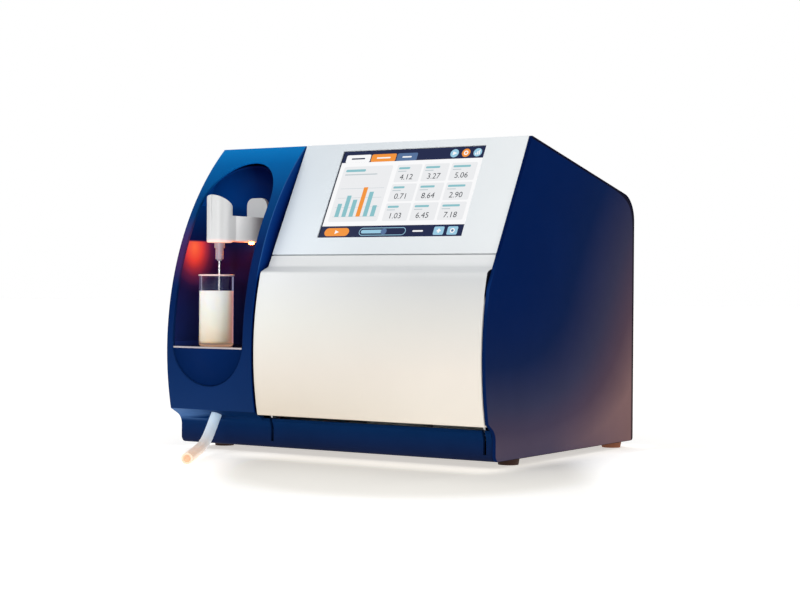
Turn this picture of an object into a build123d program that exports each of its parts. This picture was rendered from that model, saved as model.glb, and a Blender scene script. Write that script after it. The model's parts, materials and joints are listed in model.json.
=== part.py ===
from build123d import *
import os
from math import cos, hypot, pi, radians, sin, sqrt, tan

os.makedirs("parts", exist_ok=True)

# Overall size of the case, in millimetres. The origin is on the table under the middle of the case,
# X points to the viewer's right, Y to the back and Z up.
body_width = 343.0
body_depth = 298.0
top_height = 288.8
foot_height = 6.0

# Shared stock, clearances and the overrun of every cut
panel_wall = 3.0
sheet = 1.5
moulding_wall = 3.0
panel_gap = 0.5
part_gap = 0.3
running_clearance = 0.05
overrun = 8.0

# Curved front: one large arc in side view, shared by the column, the door and the side panels,
# furthest forward at arc_height and set back at the top
arc_height = 95.0
arc_top_setback = 85.7

# Sloping screen face and sloping top
slope_tilt = 27.7
slope_top_inset = 85.0
slope_length = 118.8
top_tilt = 12.3
rear_corner_radius = 27.0

# Base tray and its chin
base_setback = 22.3
base_wall = 3.0
chin_height = 39.0
chin_corner_height = 30.5
chin_fillet = 12.0
base_bottom_radius = 6.0
door_sill_height = 33.0
door_sill_setback = 20.0

# Side panels
side_setback = 3.5
side_break_drop = 28.6
side_break_radius = 12.0
side_edge_radius = 0.8

# Intake column on the left and its niche
column_width = 98.5
column_side_depth = 49.0
column_knee_drop = 18.6
column_edge_radius = 1.2
bay_width = 82.0
bay_bottom = 61.4
bay_top_gap = 15.8
bay_left_rim = 6.5
bay_depth = 80.0
bay_wall = 2.5
bay_corner_radius = 22.0
bay_edge_radius = 1.4

# Shelf, drip tray and drain
shelf_height = 98.0
shelf_setback = 0.8
tray_gap = 0.4
tray_setback = 1.0
tray_wall = 2.5
spigot_radius = 4.5
spigot_bore = 3.0
spigot_length = 16.0
hose_radius = 5.0
hose_hole_gap = 1.0
hose_points = (
    (0.0, 24.0, 49.0),
    (0.0, 10.5, 26.5),
    (10.5, -14.0, 10.0),
    (31.5, -56.0, 5.05),
    (55.5, -95.0, 5.05),
)

# Pipette head, needle and work light
needle_setback = 18.5
head_width = 24.0
nose_bottom = 195.4
nose_height = 37.6
nose_top_slope = 0.57
arm_bottom = 197.0
arm_height = 23.5
head_plate = 3.5
head_plate_top = 239.7
head_plate_corner = 7.5
head_plate_gap = 0.5
head_edge_radius = 1.2
luer_radius = 3.75
luer_length = 15.5
luer_socket = 8.0
luer_funnel = 1.6
luer_skirt_radius = 4.9
luer_skirt_wall = 0.7
luer_skirt_length = 5.0
needle_radius = 1.15
needle_bore = 0.7
needle_tip_height = 118.0
light_radius = 2.6
light_drop = 2.2
light_forward = 46.5
light_offset = 2.0

# Lift of the pipette head: carriage, two guide rods, lead screw and its motor
lift_travel = 14.0
tongue_width = 9.0
tongue_height = 9.0
tongue_rise = 2.5
tongue_gap = 0.5
carriage_width = 40.0
carriage_depth = 20.0
carriage_height = 16.0
carriage_gap = 2.5
rod_radius = 2.5
rod_spacing = 28.0
screw_radius = 3.0
screw_pitch = 8.0
lift_plate = 3.0
lift_frame_width = 52.0
lift_frame_bottom = 150.0
lift_frame_height = 103.0
lift_motor_width = 26.0
lift_motor_height = 32.0
screw_socket = 14.0
screw_end = 3.5

# Sample beaker and the milk in it
beaker_radius = 16.0
beaker_lip = 1.1
beaker_lip_height = 1.2
beaker_height = 67.6
beaker_wall = 1.2
beaker_floor = 3.6
beaker_corner = 3.0
beaker_offset_x = 1.4
beaker_offset_y = 2.5
beaker_lift = 10.0
milk_level = 51.7
milk_gap = 0.1
needle_well_gap = 0.5

# Screen panel, glass and display
bezel_wall = 3.0
bezel_flange = 10.0
column_seam = 1.8
seam_gap = 1.4
screen_offset = 1.9
screen_width = 153.5
screen_bottom = 18.0
screen_height = 93.0
glass_wall = 2.0
glass_recess = 1.0
glass_gap = 0.2
display_margin = 3.0
display_thickness = 8.0

# Door: outer panel, liner, hinge arms, hinge pins and latch
door_setback = 2.0
door_depth = 12.0
door_wall = 3.0
door_bottom = 36.7
door_left_gap = 2.0
door_strip_length = 12.4
door_step_drop = 4.6
door_step_radius = 4.0
door_knee_drop = 25.6
door_top_thickness = 8.0
door_edge_radius = 1.5
liner_wall = 2.0
hinge_setback = 35.0
hinge_height = 23.0
hinge_inset = 7.0
hinge_arm_wall = 2.0
hinge_hub_radius = 5.5
hinge_pin_radius = 2.0
hinge_ear_wall = 2.0
hinge_side_gap = 0.4
hinge_slot_gap = 0.5
hinge_slot_bottom = 12.0
hinge_pad_bottom = 38.0
hinge_pad_top = 62.0
hinge_pad_depth = 5.0
latch_inset = 16.0
latch_drop = 9.0
latch_width = 12.0
latch_body_height = 16.0
latch_depth = 26.0
latch_front_gap = 8.5
latch_stroke = 4.0
plunger_radius = 3.0
plunger_tip_gap = 0.3
striker_height = 10.0
striker_plate = 2.5

# Inner frame
bulkhead_inset = 104.0
bulkhead_wing_front = 51.0
bulkhead_wing_drop = 11.6
deck_height = 31.5
deck_front_inset = 43.0
deck_side_gap = 1.0

# Reagent bottles behind the door
bottle_gap = 8.0
bottle_panel_gap = 15.0
bottle_depth = 54.0
bottle_height = 96.0
bottle_shoulder = 8.0
bottle_neck_radius = 12.0
bottle_neck_height = 12.0
bottle_corner = 8.0
bottle_pump_gap = 23.0
bottle_count = 2
cap_radius = 16.0
cap_height = 20.0
cap_overlap = 10.0

# Peristaltic pump
pump_column_gap = 15.0
pump_height = 118.0
pump_block = 56.0
pump_block_depth = 22.0
pump_pocket_depth = 18.0
pump_pocket_radius = 23.0
pump_tube_radius = 1.9
pump_tube_bend = 20.9
pump_roller_radius = 4.0
pump_roller_circle = 14.6
pump_roller_length = 10.5
pump_disc_radius = 17.0
pump_disc_wall = 1.5
pump_shaft_radius = 2.5
pump_shaft_length = 36.0
pump_motor_radius = 16.0
pump_motor_length = 33.0
pump_roller_count = 3

# Valve block and valves on the deck
valve_block_width = 56.0
valve_block_depth = 28.0
valve_block_height = 24.5
valve_block_inset = 0.0
valve_block_rear_gap = 9.0
valve_radius = 7.0
valve_height = 22.0
valve_spacing = 18.0

# Optics on their bench behind the bulkhead
bench_left_inset = 13.0
bench_width = 160.0
bench_front_gap = 13.5
bench_depth = 120.0
bench_height = 46.0
bench_wall = 6.0
bench_leg_radius = 5.0
bench_leg_inset = 10.0
optics_axis_height = 32.0
optics_axis_inset = 55.0
interferometer_width = 90.0
interferometer_depth = 90.0
interferometer_height = 52.0
interferometer_corner = 5.0
interferometer_left_gap = 15.0
source_radius = 14.0
source_fin_radius = 18.0
source_length = 27.0
source_fin_wall = 1.6
source_fin_count = 5
cuvette_width = 16.0
cuvette_depth = 30.0
cuvette_height = 46.0
cuvette_bore = 3.0
detector_radius = 12.0
detector_length = 27.0
detector_foot_width = 12.0

# Homogenizer, power supply and main board
homogenizer_side_gap = 1.0
homogenizer_gap = 18.0
homogenizer_flange_radius = 21.5
homogenizer_flange_height = 6.0
homogenizer_body_radius = 18.0
homogenizer_body_height = 65.0
homogenizer_head_radius = 20.5
homogenizer_head_height = 15.0
homogenizer_motor_radius = 15.0
homogenizer_motor_height = 45.0
supply_side_gap = 8.5
supply_width = 90.0
supply_depth = 58.0
supply_height = 41.0
supply_rear_gap = 31.0
supply_slot_width = 2.5
supply_slot_count = 9
supply_slot_pitch = 8.0
supply_slot_length = 36.0
board_stand = 18.0
board_wall = 1.6
board_front_gap = 14.0
board_rear_gap = 27.0
board_bottom = 45.0
board_top_gap = 53.6
standoff_radius = 3.0
standoff_inset = 8.0
chip_height = 3.0
chip_width = 24.0
heatsink_width = 34.0
heatsink_base = 3.0
heatsink_height = 14.0
heatsink_fin = 1.6
heatsink_fin_count = 6
connector_height = 10.0
connector_width = 8.0
connector_length = 40.0

# Rear panel and what is mounted in it
cover_drop = 98.8
cover_lap = 6.0
cover_front_gap = 0.15
fan_side_inset = 61.5
fan_height = 120.0
fan_width = 60.0
fan_depth = 15.0
fan_duct_radius = 28.0
fan_hub_radius = 12.0
fan_blade_reach = 26.5
fan_blade_wall = 1.4
fan_blade_chord = 9.0
fan_blade_tilt = 38.0
fan_blade_count = 7
fan_pin_radius = 1.5
fan_strut_width = 3.0
fan_stator = 3.0
fan_hub_gap = 0.5
guard_wire = 1.5
guard_ring_pitch = 7.0
guard_ring_count = 4
inlet_side_inset = 51.5
inlet_height = 62.0
inlet_flange_width = 58.0
inlet_flange_height = 28.0
inlet_body_width = 52.0
inlet_body_height = 23.0
inlet_body_depth = 22.0
inlet_socket_offset = 11.0
inlet_pocket_width = 24.0
inlet_pocket_height = 16.5
inlet_pocket_depth = 16.0
inlet_blade_width = 2.0
inlet_blade_height = 4.0
inlet_blade_pitch = 7.0
inlet_blade_recess = 6.0
switch_offset = 17.0
rocker_radius = 6.8
rocker_width = 9.5
rocker_protrusion = 1.3
rocker_travel = 16.0
ports_left = 0.0
ports_width = 62.0
ports_bottom = 48.0
ports_height = 20.0
ports_depth = 15.0
usb_width = 13.1
usb_height = 5.8
lan_width = 16.0
lan_height = 13.0
port_pocket = 10.0
vent_left = -20.0
vent_bottom = 96.0
vent_width = 2.6
vent_length = 50.0
vent_pitch = 7.0
vent_count = 10
screw_head_radius = 3.0
screw_head_height = 1.3
screw_shank_radius = 1.5
screw_hole_gap = 0.2
screw_shank_length = 6.0
screw_inset_x = 10.0
screw_inset_z = 8.0

# Feet
foot_radius = 10.0
foot_taper = 1.0
foot_inset_x = 14.0
foot_front_inset = 70.5
foot_rear_inset = 20.0

# Places that follow from the sizes above
half_width = body_width / 2
front_y = -body_depth / 2
back_y = body_depth / 2
arc_rise = top_height - arc_height
arc_radius = (arc_rise**2 + arc_top_setback**2) / (2 * arc_top_setback)
arc_centre_y = front_y + arc_radius
slope_top_y = front_y + slope_top_inset
seam_y = slope_top_y - slope_length * sin(radians(slope_tilt))
seam_height = top_height - slope_length * cos(radians(slope_tilt))
inner_half_width = half_width - panel_wall - panel_gap
side_break_height = seam_height - side_break_drop
column_knee_height = seam_height - column_knee_drop
bulkhead_wing_height = seam_height - bulkhead_wing_drop
base_front_y = front_y + base_setback
floor_height = foot_height + base_wall
column_left = -half_width
column_right = column_left + column_width
column_back_y = front_y + column_side_depth
bay_x = column_left + bay_left_rim + bay_width / 2
bay_top = top_height - bay_top_gap
bay_height = bay_top - bay_bottom
bay_mid_height = (bay_top + bay_bottom) / 2
bay_back_y = front_y + bay_depth
needle_y = front_y + needle_setback
hose_route = [(bay_x + x, front_y + y, z) for x, y, z in hose_points]
hose_start = hose_route[0]
hose_down = (Vector(*hose_route[1]) - Vector(*hose_start)).normalized()
beaker_x = bay_x - beaker_offset_x
beaker_y = needle_y - beaker_offset_y
bulkhead_y = front_y + bulkhead_inset
cover_drop_height = top_height - cover_drop
door_knee_height = seam_height - door_knee_drop
latch_height = door_knee_height - latch_drop
door_left = column_right + door_left_gap
door_right = inner_half_width
pump_x = column_right + pump_column_gap + pump_block / 2
bottle_left = pump_x + pump_block / 2 + bottle_pump_gap
bottle_right = half_width - panel_wall - bottle_panel_gap
bottle_width = (bottle_right - bottle_left + bottle_gap) / bottle_count - bottle_gap
bottle_pitch = bottle_width + bottle_gap
hinge_y = front_y + hinge_setback
hinge_places = (door_left + hinge_inset, door_right - hinge_inset)
rear_panel_y = back_y - sheet
fan_x = half_width - fan_side_inset
inlet_x = -half_width + inlet_side_inset
slope_plane = Plane(
    origin=(0, seam_y, seam_height),
    x_dir=(1, 0, 0),
    z_dir=(0, -cos(radians(slope_tilt)), sin(radians(slope_tilt))),
)


def front_arc(z, setback=0):
    """Y of the curved front at height z, set back along the arc's radius."""
    return arc_centre_y - sqrt((arc_radius - setback) ** 2 - (z - arc_height) ** 2)


def top_line(y):
    """Height of the sloping top at depth y."""
    return top_height - (y - slope_top_y) * tan(radians(top_tilt))


def draw_front_arc(low, high, setback=0):
    """Draw the curved front between two heights."""
    middle = (low + high) / 2
    ThreePointArc(
        (front_arc(low, setback), low),
        (front_arc(middle, setback), middle),
        (front_arc(high, setback), high),
    )


def round_corner(place, radius):
    """Round the corner of the open sketch that lies nearest to a place."""
    corner = vertices().sort_by_distance((place[0], place[1], 0))[0]
    fillet(corner, radius=radius)


def block(x, y, z, mode=Mode.ADD):
    """Add or cut a box given by its lowest and highest X, Y and Z."""
    with Locations((x[0], y[0], z[0])):
        Box(x[1] - x[0], y[1] - y[0], z[1] - z[0], align=(Align.MIN,) * 3, mode=mode)


def rod(start, direction, radius, length, mode=Mode.ADD):
    """Add or cut a cylinder from a start point along a direction."""
    with Locations(Plane(origin=start, z_dir=direction)):
        Cylinder(radius, length, align=(Align.CENTER, Align.CENTER, Align.MIN), mode=mode)


def cut_ahead_of_arc(setback):
    """Remove what lies ahead of the curved front, set back by a distance."""
    low = -overrun
    high = top_height
    ahead_y = front_y - overrun
    with BuildSketch(Plane.YZ.offset(-half_width - overrun)) as ahead:
        with BuildLine():
            draw_front_arc(low, high, setback)
            Polyline(
                (front_arc(high, setback), high),
                (ahead_y, high),
                (ahead_y, low),
                (front_arc(low, setback), low),
            )
        make_face()
    extrude(ahead.sketch, amount=body_width + 2 * overrun, mode=Mode.SUBTRACT)


def bay_form(grow, back_y_of_form):
    """Add the niche's form: an upright slot run forwards, rounded at its back."""
    with BuildSketch(Plane.XZ.offset(-back_y_of_form)) as slot:
        with Locations((bay_x, bay_mid_height)):
            SlotOverall(bay_height + 2 * grow, bay_width + 2 * grow, rotation=90)
    extrude(slot.sketch, amount=back_y_of_form - front_y + overrun)
    fillet(faces().sort_by(Axis.Y)[-1].edges(), radius=bay_corner_radius + grow)


# Side outline of the case
slope_top = (slope_top_y, top_height)
rear_top = (back_y, top_line(back_y))
rear_bottom = (back_y, foot_height)
front_bottom = (base_front_y, foot_height)
chin_corner = (base_front_y, chin_corner_height)


def side_outline(x):
    """Return the outline of a side panel as a face at X."""
    chin = (front_arc(chin_height, side_setback), chin_height)
    break_point = (front_arc(side_break_height, side_setback), side_break_height)
    with BuildSketch(Plane.YZ.offset(x)) as outline:
        with BuildLine():
            draw_front_arc(chin_height, side_break_height, side_setback)
            Polyline(
                break_point, slope_top, rear_top, rear_bottom, front_bottom, chin_corner, chin
            )
        make_face()
        round_corner(rear_top, rear_corner_radius)
        round_corner(rear_bottom, base_wall)
        round_corner(front_bottom, base_bottom_radius)
        round_corner(chin_corner, chin_fillet)
        round_corner(chin, column_edge_radius)
        round_corner(break_point, side_break_radius)
        round_corner(slope_top, column_edge_radius)
    return outline.sketch


with BuildPart() as side_panel_right:
    extrude(side_outline(half_width - panel_wall), amount=panel_wall)
    fillet(faces().sort_by(Axis.X)[-1].edges(), radius=side_edge_radius)

# The left panel starts behind the column, along a joint that runs up and then leans back
tilt_run = tan(radians(slope_tilt))
top_run = tan(radians(top_tilt))
column_top_back_z = (
    top_height - (column_back_y - column_knee_height * tilt_run - slope_top_y) * top_run
) / (1 + tilt_run * top_run)
column_top_back_y = column_back_y + (column_top_back_z - column_knee_height) * tilt_run


def cut_column_side(left, right):
    """Remove what lies ahead of the column's rear joint between two X."""
    with BuildSketch(Plane.YZ.offset(left)) as ahead:
        with BuildLine():
            Polyline(
                (front_y - overrun, -overrun),
                (column_back_y + panel_gap, -overrun),
                (column_back_y + panel_gap, column_knee_height),
                (
                    column_top_back_y + panel_gap + overrun * tilt_run,
                    column_top_back_z + overrun,
                ),
                (front_y - overrun, column_top_back_z + overrun),
                close=True,
            )
        make_face()
    extrude(ahead.sketch, amount=right - left, mode=Mode.SUBTRACT)


with BuildPart() as side_panel_left:
    extrude(side_outline(-half_width), amount=panel_wall)
    fillet(faces().sort_by(Axis.X)[0].edges(), radius=side_edge_radius)
    cut_column_side(-half_width - overrun, -half_width + panel_wall + overrun)

# Base tray: floor, curled front wall with the chin under the column, rear wall and side walls
chin_tip = (front_arc(chin_height), chin_height)
chin_run = (chin_height - chin_corner_height) / (base_front_y - chin_tip[0])
chin_offset = base_wall * hypot(1, chin_run) / chin_run
inner_corner_height = chin_corner_height + (chin_offset - base_wall) * chin_run
tray_back_y = back_y

with BuildPart() as base_tray:
    with BuildSketch(Plane.YZ.offset(column_left)):
        with BuildLine():
            Polyline(
                front_bottom,
                chin_corner,
                chin_tip,
                (tray_back_y, chin_height),
                (tray_back_y, foot_height),
                close=True,
            )
        make_face()
        round_corner(front_bottom, base_bottom_radius)
        round_corner(chin_corner, chin_fillet)
        round_corner((tray_back_y, foot_height), base_wall)
    extrude(amount=half_width + inner_half_width)
    with BuildSketch(Plane.YZ.offset(-inner_half_width + base_wall)):
        with BuildLine():
            Polyline(
                (base_front_y + base_wall, floor_height),
                (base_front_y + base_wall, inner_corner_height),
                (chin_tip[0] + chin_offset, chin_height),
                (chin_tip[0] + chin_offset, chin_height + overrun),
                (tray_back_y - base_wall, chin_height + overrun),
                (tray_back_y - base_wall, floor_height),
                close=True,
            )
        make_face()
    extrude(amount=2 * (inner_half_width - base_wall), mode=Mode.SUBTRACT)
    block(
        (column_right, half_width + overrun),
        (front_y - overrun, back_y + overrun),
        (door_sill_height, chin_height + overrun),
        Mode.SUBTRACT,
    )
    block(
        (column_right, half_width + overrun),
        (front_y - overrun, front_y + door_sill_setback),
        (0, chin_height),
        Mode.SUBTRACT,
    )
    block(
        (-half_width - overrun, -inner_half_width),
        (column_back_y, back_y + overrun),
        (0, chin_height + overrun),
        Mode.SUBTRACT,
    )
    block(
        (-half_width - overrun, column_right),
        (column_back_y, back_y + overrun),
        (door_sill_height, chin_height + overrun),
        Mode.SUBTRACT,
    )
    for hinge_x in hinge_places:
        block(
            (
                hinge_x - hinge_arm_wall / 2 - hinge_slot_gap,
                hinge_x + hinge_arm_wall / 2 + hinge_slot_gap,
            ),
            (front_y, base_front_y + base_wall + part_gap),
            (hinge_slot_bottom, chin_height + overrun),
            Mode.SUBTRACT,
        )
    rod(hose_start, hose_down, hose_radius + hose_hole_gap, 4 * overrun, Mode.SUBTRACT)

with BuildPart() as rubber_feet:
    for foot_x in (-half_width + foot_inset_x, half_width - foot_inset_x):
        for foot_y in (front_y + foot_front_inset, back_y - foot_rear_inset):
            with Locations((foot_x, foot_y, foot_height / 2)):
                Cone(foot_radius - foot_taper, foot_radius, foot_height)

# Intake column: a moulded shell with the curved front
with BuildPart() as intake_column:
    with BuildSketch(Plane.YZ.offset(column_left)):
        with BuildLine():
            draw_front_arc(chin_height, top_height)
            Polyline(
                (front_arc(top_height), top_height),
                (column_top_back_y, column_top_back_z),
                (column_back_y, column_knee_height),
                (column_back_y, chin_height),
                chin_tip,
            )
        make_face()
    extrude(amount=column_width)
    shell_top = top_height - 1.5 * moulding_wall
    shell_low = chin_height - overrun
    shell_far_y = column_top_back_y + overrun
    shell_drop = moulding_wall / cos(radians(top_tilt))
    shell_y = front_arc(shell_top, moulding_wall)
    with BuildSketch(Plane.YZ.offset(column_left + moulding_wall)):
        with BuildLine():
            draw_front_arc(shell_low, shell_top, moulding_wall)
            Polyline(
                (shell_y, shell_top),
                (shell_y, top_line(shell_y) - shell_drop),
                (shell_far_y, top_line(shell_far_y) - shell_drop),
                (shell_far_y, shell_low),
                (front_arc(shell_low, moulding_wall), shell_low),
            )
        make_face()
    extrude(amount=column_width - 2 * moulding_wall, mode=Mode.SUBTRACT)
    with BuildSketch(Plane.XZ.offset(-bay_back_y)):
        with Locations((bay_x, bay_mid_height)):
            SlotOverall(bay_height, bay_width, rotation=90)
    extrude(amount=bay_depth + overrun, mode=Mode.SUBTRACT)
    front_face = faces().filter_by(GeomType.CYLINDER).sort_by(SortBy.AREA)[-1]
    fillet(front_face.inner_wires()[0].edges(), radius=bay_edge_radius)

# Niche liner, drip tray and shelf
with BuildPart() as bay_cavity:
    bay_form(0, bay_back_y)

tongue_bottom = arm_bottom + tongue_rise
tongue_top = tongue_bottom + tongue_height

with BuildPart() as sample_bay:
    bay_form(bay_wall, bay_back_y + bay_wall)
    add(bay_cavity.part, mode=Mode.SUBTRACT)
    cut_ahead_of_arc(moulding_wall + part_gap)
    block(
        (bay_x - tongue_width / 2 - tongue_gap, bay_x + tongue_width / 2 + tongue_gap),
        (bay_back_y - overrun, bay_back_y + overrun),
        (tongue_bottom - tongue_gap, tongue_top + lift_travel + tongue_gap),
        Mode.SUBTRACT,
    )
    rod(hose_start, -hose_down, spigot_radius + part_gap, spigot_length + overrun, Mode.SUBTRACT)

shelf_bottom = shelf_height - sheet

with BuildPart() as tray_form:
    bay_form(-tray_gap, bay_back_y - tray_gap)
    cut_ahead_of_arc(tray_setback)
    block(
        (-half_width, half_width),
        (front_y - overrun, back_y),
        (shelf_bottom, top_height),
        Mode.SUBTRACT,
    )

with BuildPart() as tray_pocket:
    bay_form(-tray_gap - tray_wall, bay_back_y - tray_gap - tray_wall)
    cut_ahead_of_arc(tray_setback + tray_wall)

with BuildPart() as drip_tray:
    rod(hose_start, -hose_down, spigot_radius, spigot_length)
    add(tray_form.part)
    add(tray_pocket.part, mode=Mode.SUBTRACT)
    rod(hose_start, -hose_down, spigot_bore, spigot_length + overrun, Mode.SUBTRACT)

with BuildPart() as shelf_plate:
    bay_form(-tray_gap, bay_back_y - tray_gap)
    cut_ahead_of_arc(shelf_setback)
    block(
        (-half_width, half_width),
        (front_y - overrun, back_y),
        (shelf_height, top_height),
        Mode.SUBTRACT,
    )
    block(
        (-half_width, half_width),
        (front_y - overrun, back_y),
        (0, shelf_bottom),
        Mode.SUBTRACT,
    )

# Drain hose: out of the chin, down to the table and forwards along it
def bend_radii(route):
    """Radius of each bend: as large as its two runs allow."""
    radii = []
    for before, corner, after in zip(route, route[1:], route[2:]):
        run_in = Vector(*corner) - Vector(*before)
        run_out = Vector(*after) - Vector(*corner)
        half_turn = radians(run_in.get_angle(run_out)) / 2
        radii.append(0.45 * min(run_in.length, run_out.length) / tan(half_turn))
    return radii


hose_radii = bend_radii(hose_route)
print("hose bend radii", [round(radius, 1) for radius in hose_radii])

with BuildPart() as drain_hose:
    with BuildLine() as hose_line:
        FilletPolyline(*hose_route, radius=hose_radii)
    with BuildSketch(Plane(origin=hose_start, z_dir=hose_down)):
        Circle(hose_radius)
    sweep(path=hose_line.wires()[0])
hose_length = hose_line.wires()[0].length
print("hose length", round(hose_length, 1), "volume", round(drain_hose.part.volume),
      "section times length", round(pi * hose_radius**2 * hose_length))

# Pipette head: upright nose, arm to the back of the niche and the plate that covers its slot
plate_back_y = bay_back_y - head_plate_gap
plate_front_y = plate_back_y - head_plate
nose_mid_top = nose_bottom + nose_height
head_radius = head_width / 2

with BuildPart() as pipette_head:
    rod((bay_x, needle_y, nose_bottom), (0, 0, 1), head_radius, 2 * nose_height)
    nose_low_y = needle_y + head_radius + overrun
    nose_high_y = needle_y - head_radius - overrun
    with BuildSketch(Plane.YZ.offset(bay_x - head_width)):
        with BuildLine():
            Polyline(
                (nose_high_y, nose_mid_top + (needle_y - nose_high_y) * nose_top_slope),
                (nose_low_y, nose_mid_top + (needle_y - nose_low_y) * nose_top_slope),
                (nose_low_y, nose_bottom + 3 * nose_height),
                (nose_high_y, nose_bottom + 3 * nose_height),
                close=True,
            )
        make_face()
    extrude(amount=2 * head_width, mode=Mode.SUBTRACT)
    block(
        (bay_x - head_radius, bay_x + head_radius),
        (needle_y, plate_front_y),
        (arm_bottom, arm_bottom + arm_height),
    )
    with BuildSketch(Plane.XZ.offset(-plate_front_y)):
        with BuildLine():
            Polyline(
                (bay_x - head_radius, arm_bottom),
                (bay_x + head_radius, arm_bottom),
                (bay_x + head_radius, head_plate_top),
                (bay_x - head_radius, head_plate_top),
                close=True,
            )
        make_face()
        fillet(vertices().group_by(Axis.Z)[-1], radius=head_plate_corner)
    extrude(amount=-head_plate)
    fillet(edges().group_by(Axis.Z)[0], radius=head_edge_radius)
    rod(
        (bay_x, needle_y, nose_bottom - overrun),
        (0, 0, 1),
        luer_radius,
        luer_socket + overrun,
        Mode.SUBTRACT,
    )

luer_top = nose_bottom + luer_socket
luer_bottom = luer_top - luer_socket - luer_length

with BuildPart() as luer_connector:
    rod((bay_x, needle_y, luer_bottom), (0, 0, 1), luer_radius, luer_top - luer_bottom)
    with Locations((bay_x, needle_y, luer_bottom - luer_funnel / 2)):
        Cone(needle_radius + luer_skirt_wall, luer_radius - luer_skirt_wall, luer_funnel)
    rod(
        (bay_x, needle_y, nose_bottom - luer_skirt_length),
        (0, 0, 1),
        luer_skirt_radius,
        luer_skirt_length,
    )
    rod(
        (bay_x, needle_y, nose_bottom - luer_skirt_length),
        (0, 0, 1),
        luer_skirt_radius - luer_skirt_wall,
        luer_skirt_length - luer_skirt_wall,
        Mode.SUBTRACT,
    )
    rod((bay_x, needle_y, luer_bottom), (0, 0, 1), luer_radius, luer_top - luer_bottom)

with BuildPart() as pipette_needle:
    rod(
        (bay_x, needle_y, needle_tip_height),
        (0, 0, 1),
        needle_radius,
        luer_bottom - luer_funnel - needle_tip_height,
    )
    rod(
        (bay_x, needle_y, needle_tip_height - overrun),
        (0, 0, 1),
        needle_bore,
        nose_bottom - needle_tip_height,
        Mode.SUBTRACT,
    )

with BuildPart() as work_light:
    rod(
        (bay_x + light_offset, needle_y + light_forward, arm_bottom - light_drop),
        (0, 0, 1),
        light_radius,
        light_drop,
    )
    fillet(faces().sort_by(Axis.Z)[0].edges(), radius=light_drop / 2)

# Lift behind the niche
bay_outer_y = bay_back_y + bay_wall
carriage_front_y = bay_outer_y + carriage_gap
lift_axis_y = carriage_front_y + carriage_depth / 2 + screw_radius
lift_back_y = carriage_front_y + carriage_depth + screw_radius
lift_frame_top = lift_frame_bottom + lift_frame_height
lift_places = (bay_x - rod_spacing / 2, bay_x + rod_spacing / 2)

with BuildPart() as lift_carriage:
    block(
        (bay_x - carriage_width / 2, bay_x + carriage_width / 2),
        (carriage_front_y, carriage_front_y + carriage_depth),
        (arm_bottom, arm_bottom + carriage_height),
    )
    block(
        (bay_x - tongue_width / 2, bay_x + tongue_width / 2),
        (plate_back_y, carriage_front_y + overrun),
        (tongue_bottom, tongue_top),
    )
    for lift_x in lift_places:
        rod(
            (lift_x, lift_axis_y, arm_bottom - overrun),
            (0, 0, 1),
            rod_radius + running_clearance,
            carriage_height + 2 * overrun,
            Mode.SUBTRACT,
        )
    rod(
        (bay_x, lift_axis_y, arm_bottom - overrun),
        (0, 0, 1),
        screw_radius + running_clearance,
        carriage_height + 2 * overrun,
        Mode.SUBTRACT,
    )

with BuildPart() as lift_frame:
    frame_x = (bay_x - lift_frame_width / 2, bay_x + lift_frame_width / 2)
    for plate_bottom in (lift_frame_bottom, lift_frame_top - lift_plate):
        block(
            frame_x,
            (bay_outer_y, lift_back_y + lift_plate),
            (plate_bottom, plate_bottom + lift_plate),
        )
    block(
        frame_x,
        (lift_back_y, lift_back_y + lift_plate),
        (lift_frame_bottom, lift_frame_top),
    )
    for lift_x in lift_places:
        rod(
            (lift_x, lift_axis_y, lift_frame_bottom - overrun),
            (0, 0, 1),
            rod_radius,
            lift_frame_height + 2 * overrun,
            Mode.SUBTRACT,
        )
    rod(
        (bay_x, lift_axis_y, lift_frame_bottom - overrun),
        (0, 0, 1),
        screw_radius + running_clearance,
        lift_frame_height + 2 * overrun,
        Mode.SUBTRACT,
    )

with BuildPart() as guide_rods:
    for lift_x in lift_places:
        rod((lift_x, lift_axis_y, lift_frame_bottom), (0, 0, 1), rod_radius, lift_frame_height)

with BuildPart() as lift_motor:
    block(
        (bay_x - lift_motor_width / 2, bay_x + lift_motor_width / 2),
        (lift_axis_y - lift_motor_width / 2, lift_axis_y + lift_motor_width / 2),
        (lift_frame_bottom - lift_motor_height, lift_frame_bottom),
    )
    fillet(edges().filter_by(Axis.Z), radius=lift_plate)
    rod(
        (bay_x, lift_axis_y, lift_frame_bottom - screw_socket),
        (0, 0, 1),
        screw_radius + running_clearance,
        screw_socket + overrun,
        Mode.SUBTRACT,
    )

with BuildPart() as lead_screw:
    screw_foot = lift_frame_bottom - screw_socket + part_gap
    rod(
        (bay_x, lift_axis_y, screw_foot),
        (0, 0, 1),
        screw_radius,
        lift_frame_top + screw_end - screw_foot,
    )

# Beaker and milk
with BuildPart() as sample_beaker:
    rod((beaker_x, beaker_y, shelf_height), (0, 0, 1), beaker_radius, beaker_height)
    fillet(faces().sort_by(Axis.Z)[0].edges(), radius=beaker_corner)
    rod(
        (beaker_x, beaker_y, shelf_height + beaker_height - beaker_lip_height),
        (0, 0, 1),
        beaker_radius + beaker_lip,
        beaker_lip_height,
    )

with BuildPart() as beaker_hollow:
    rod(
        (beaker_x, beaker_y, shelf_height + beaker_floor),
        (0, 0, 1),
        beaker_radius - beaker_wall,
        beaker_height,
    )
    fillet(faces().sort_by(Axis.Z)[0].edges(), radius=beaker_corner)

with sample_beaker:
    add(beaker_hollow.part, mode=Mode.SUBTRACT)

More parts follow.
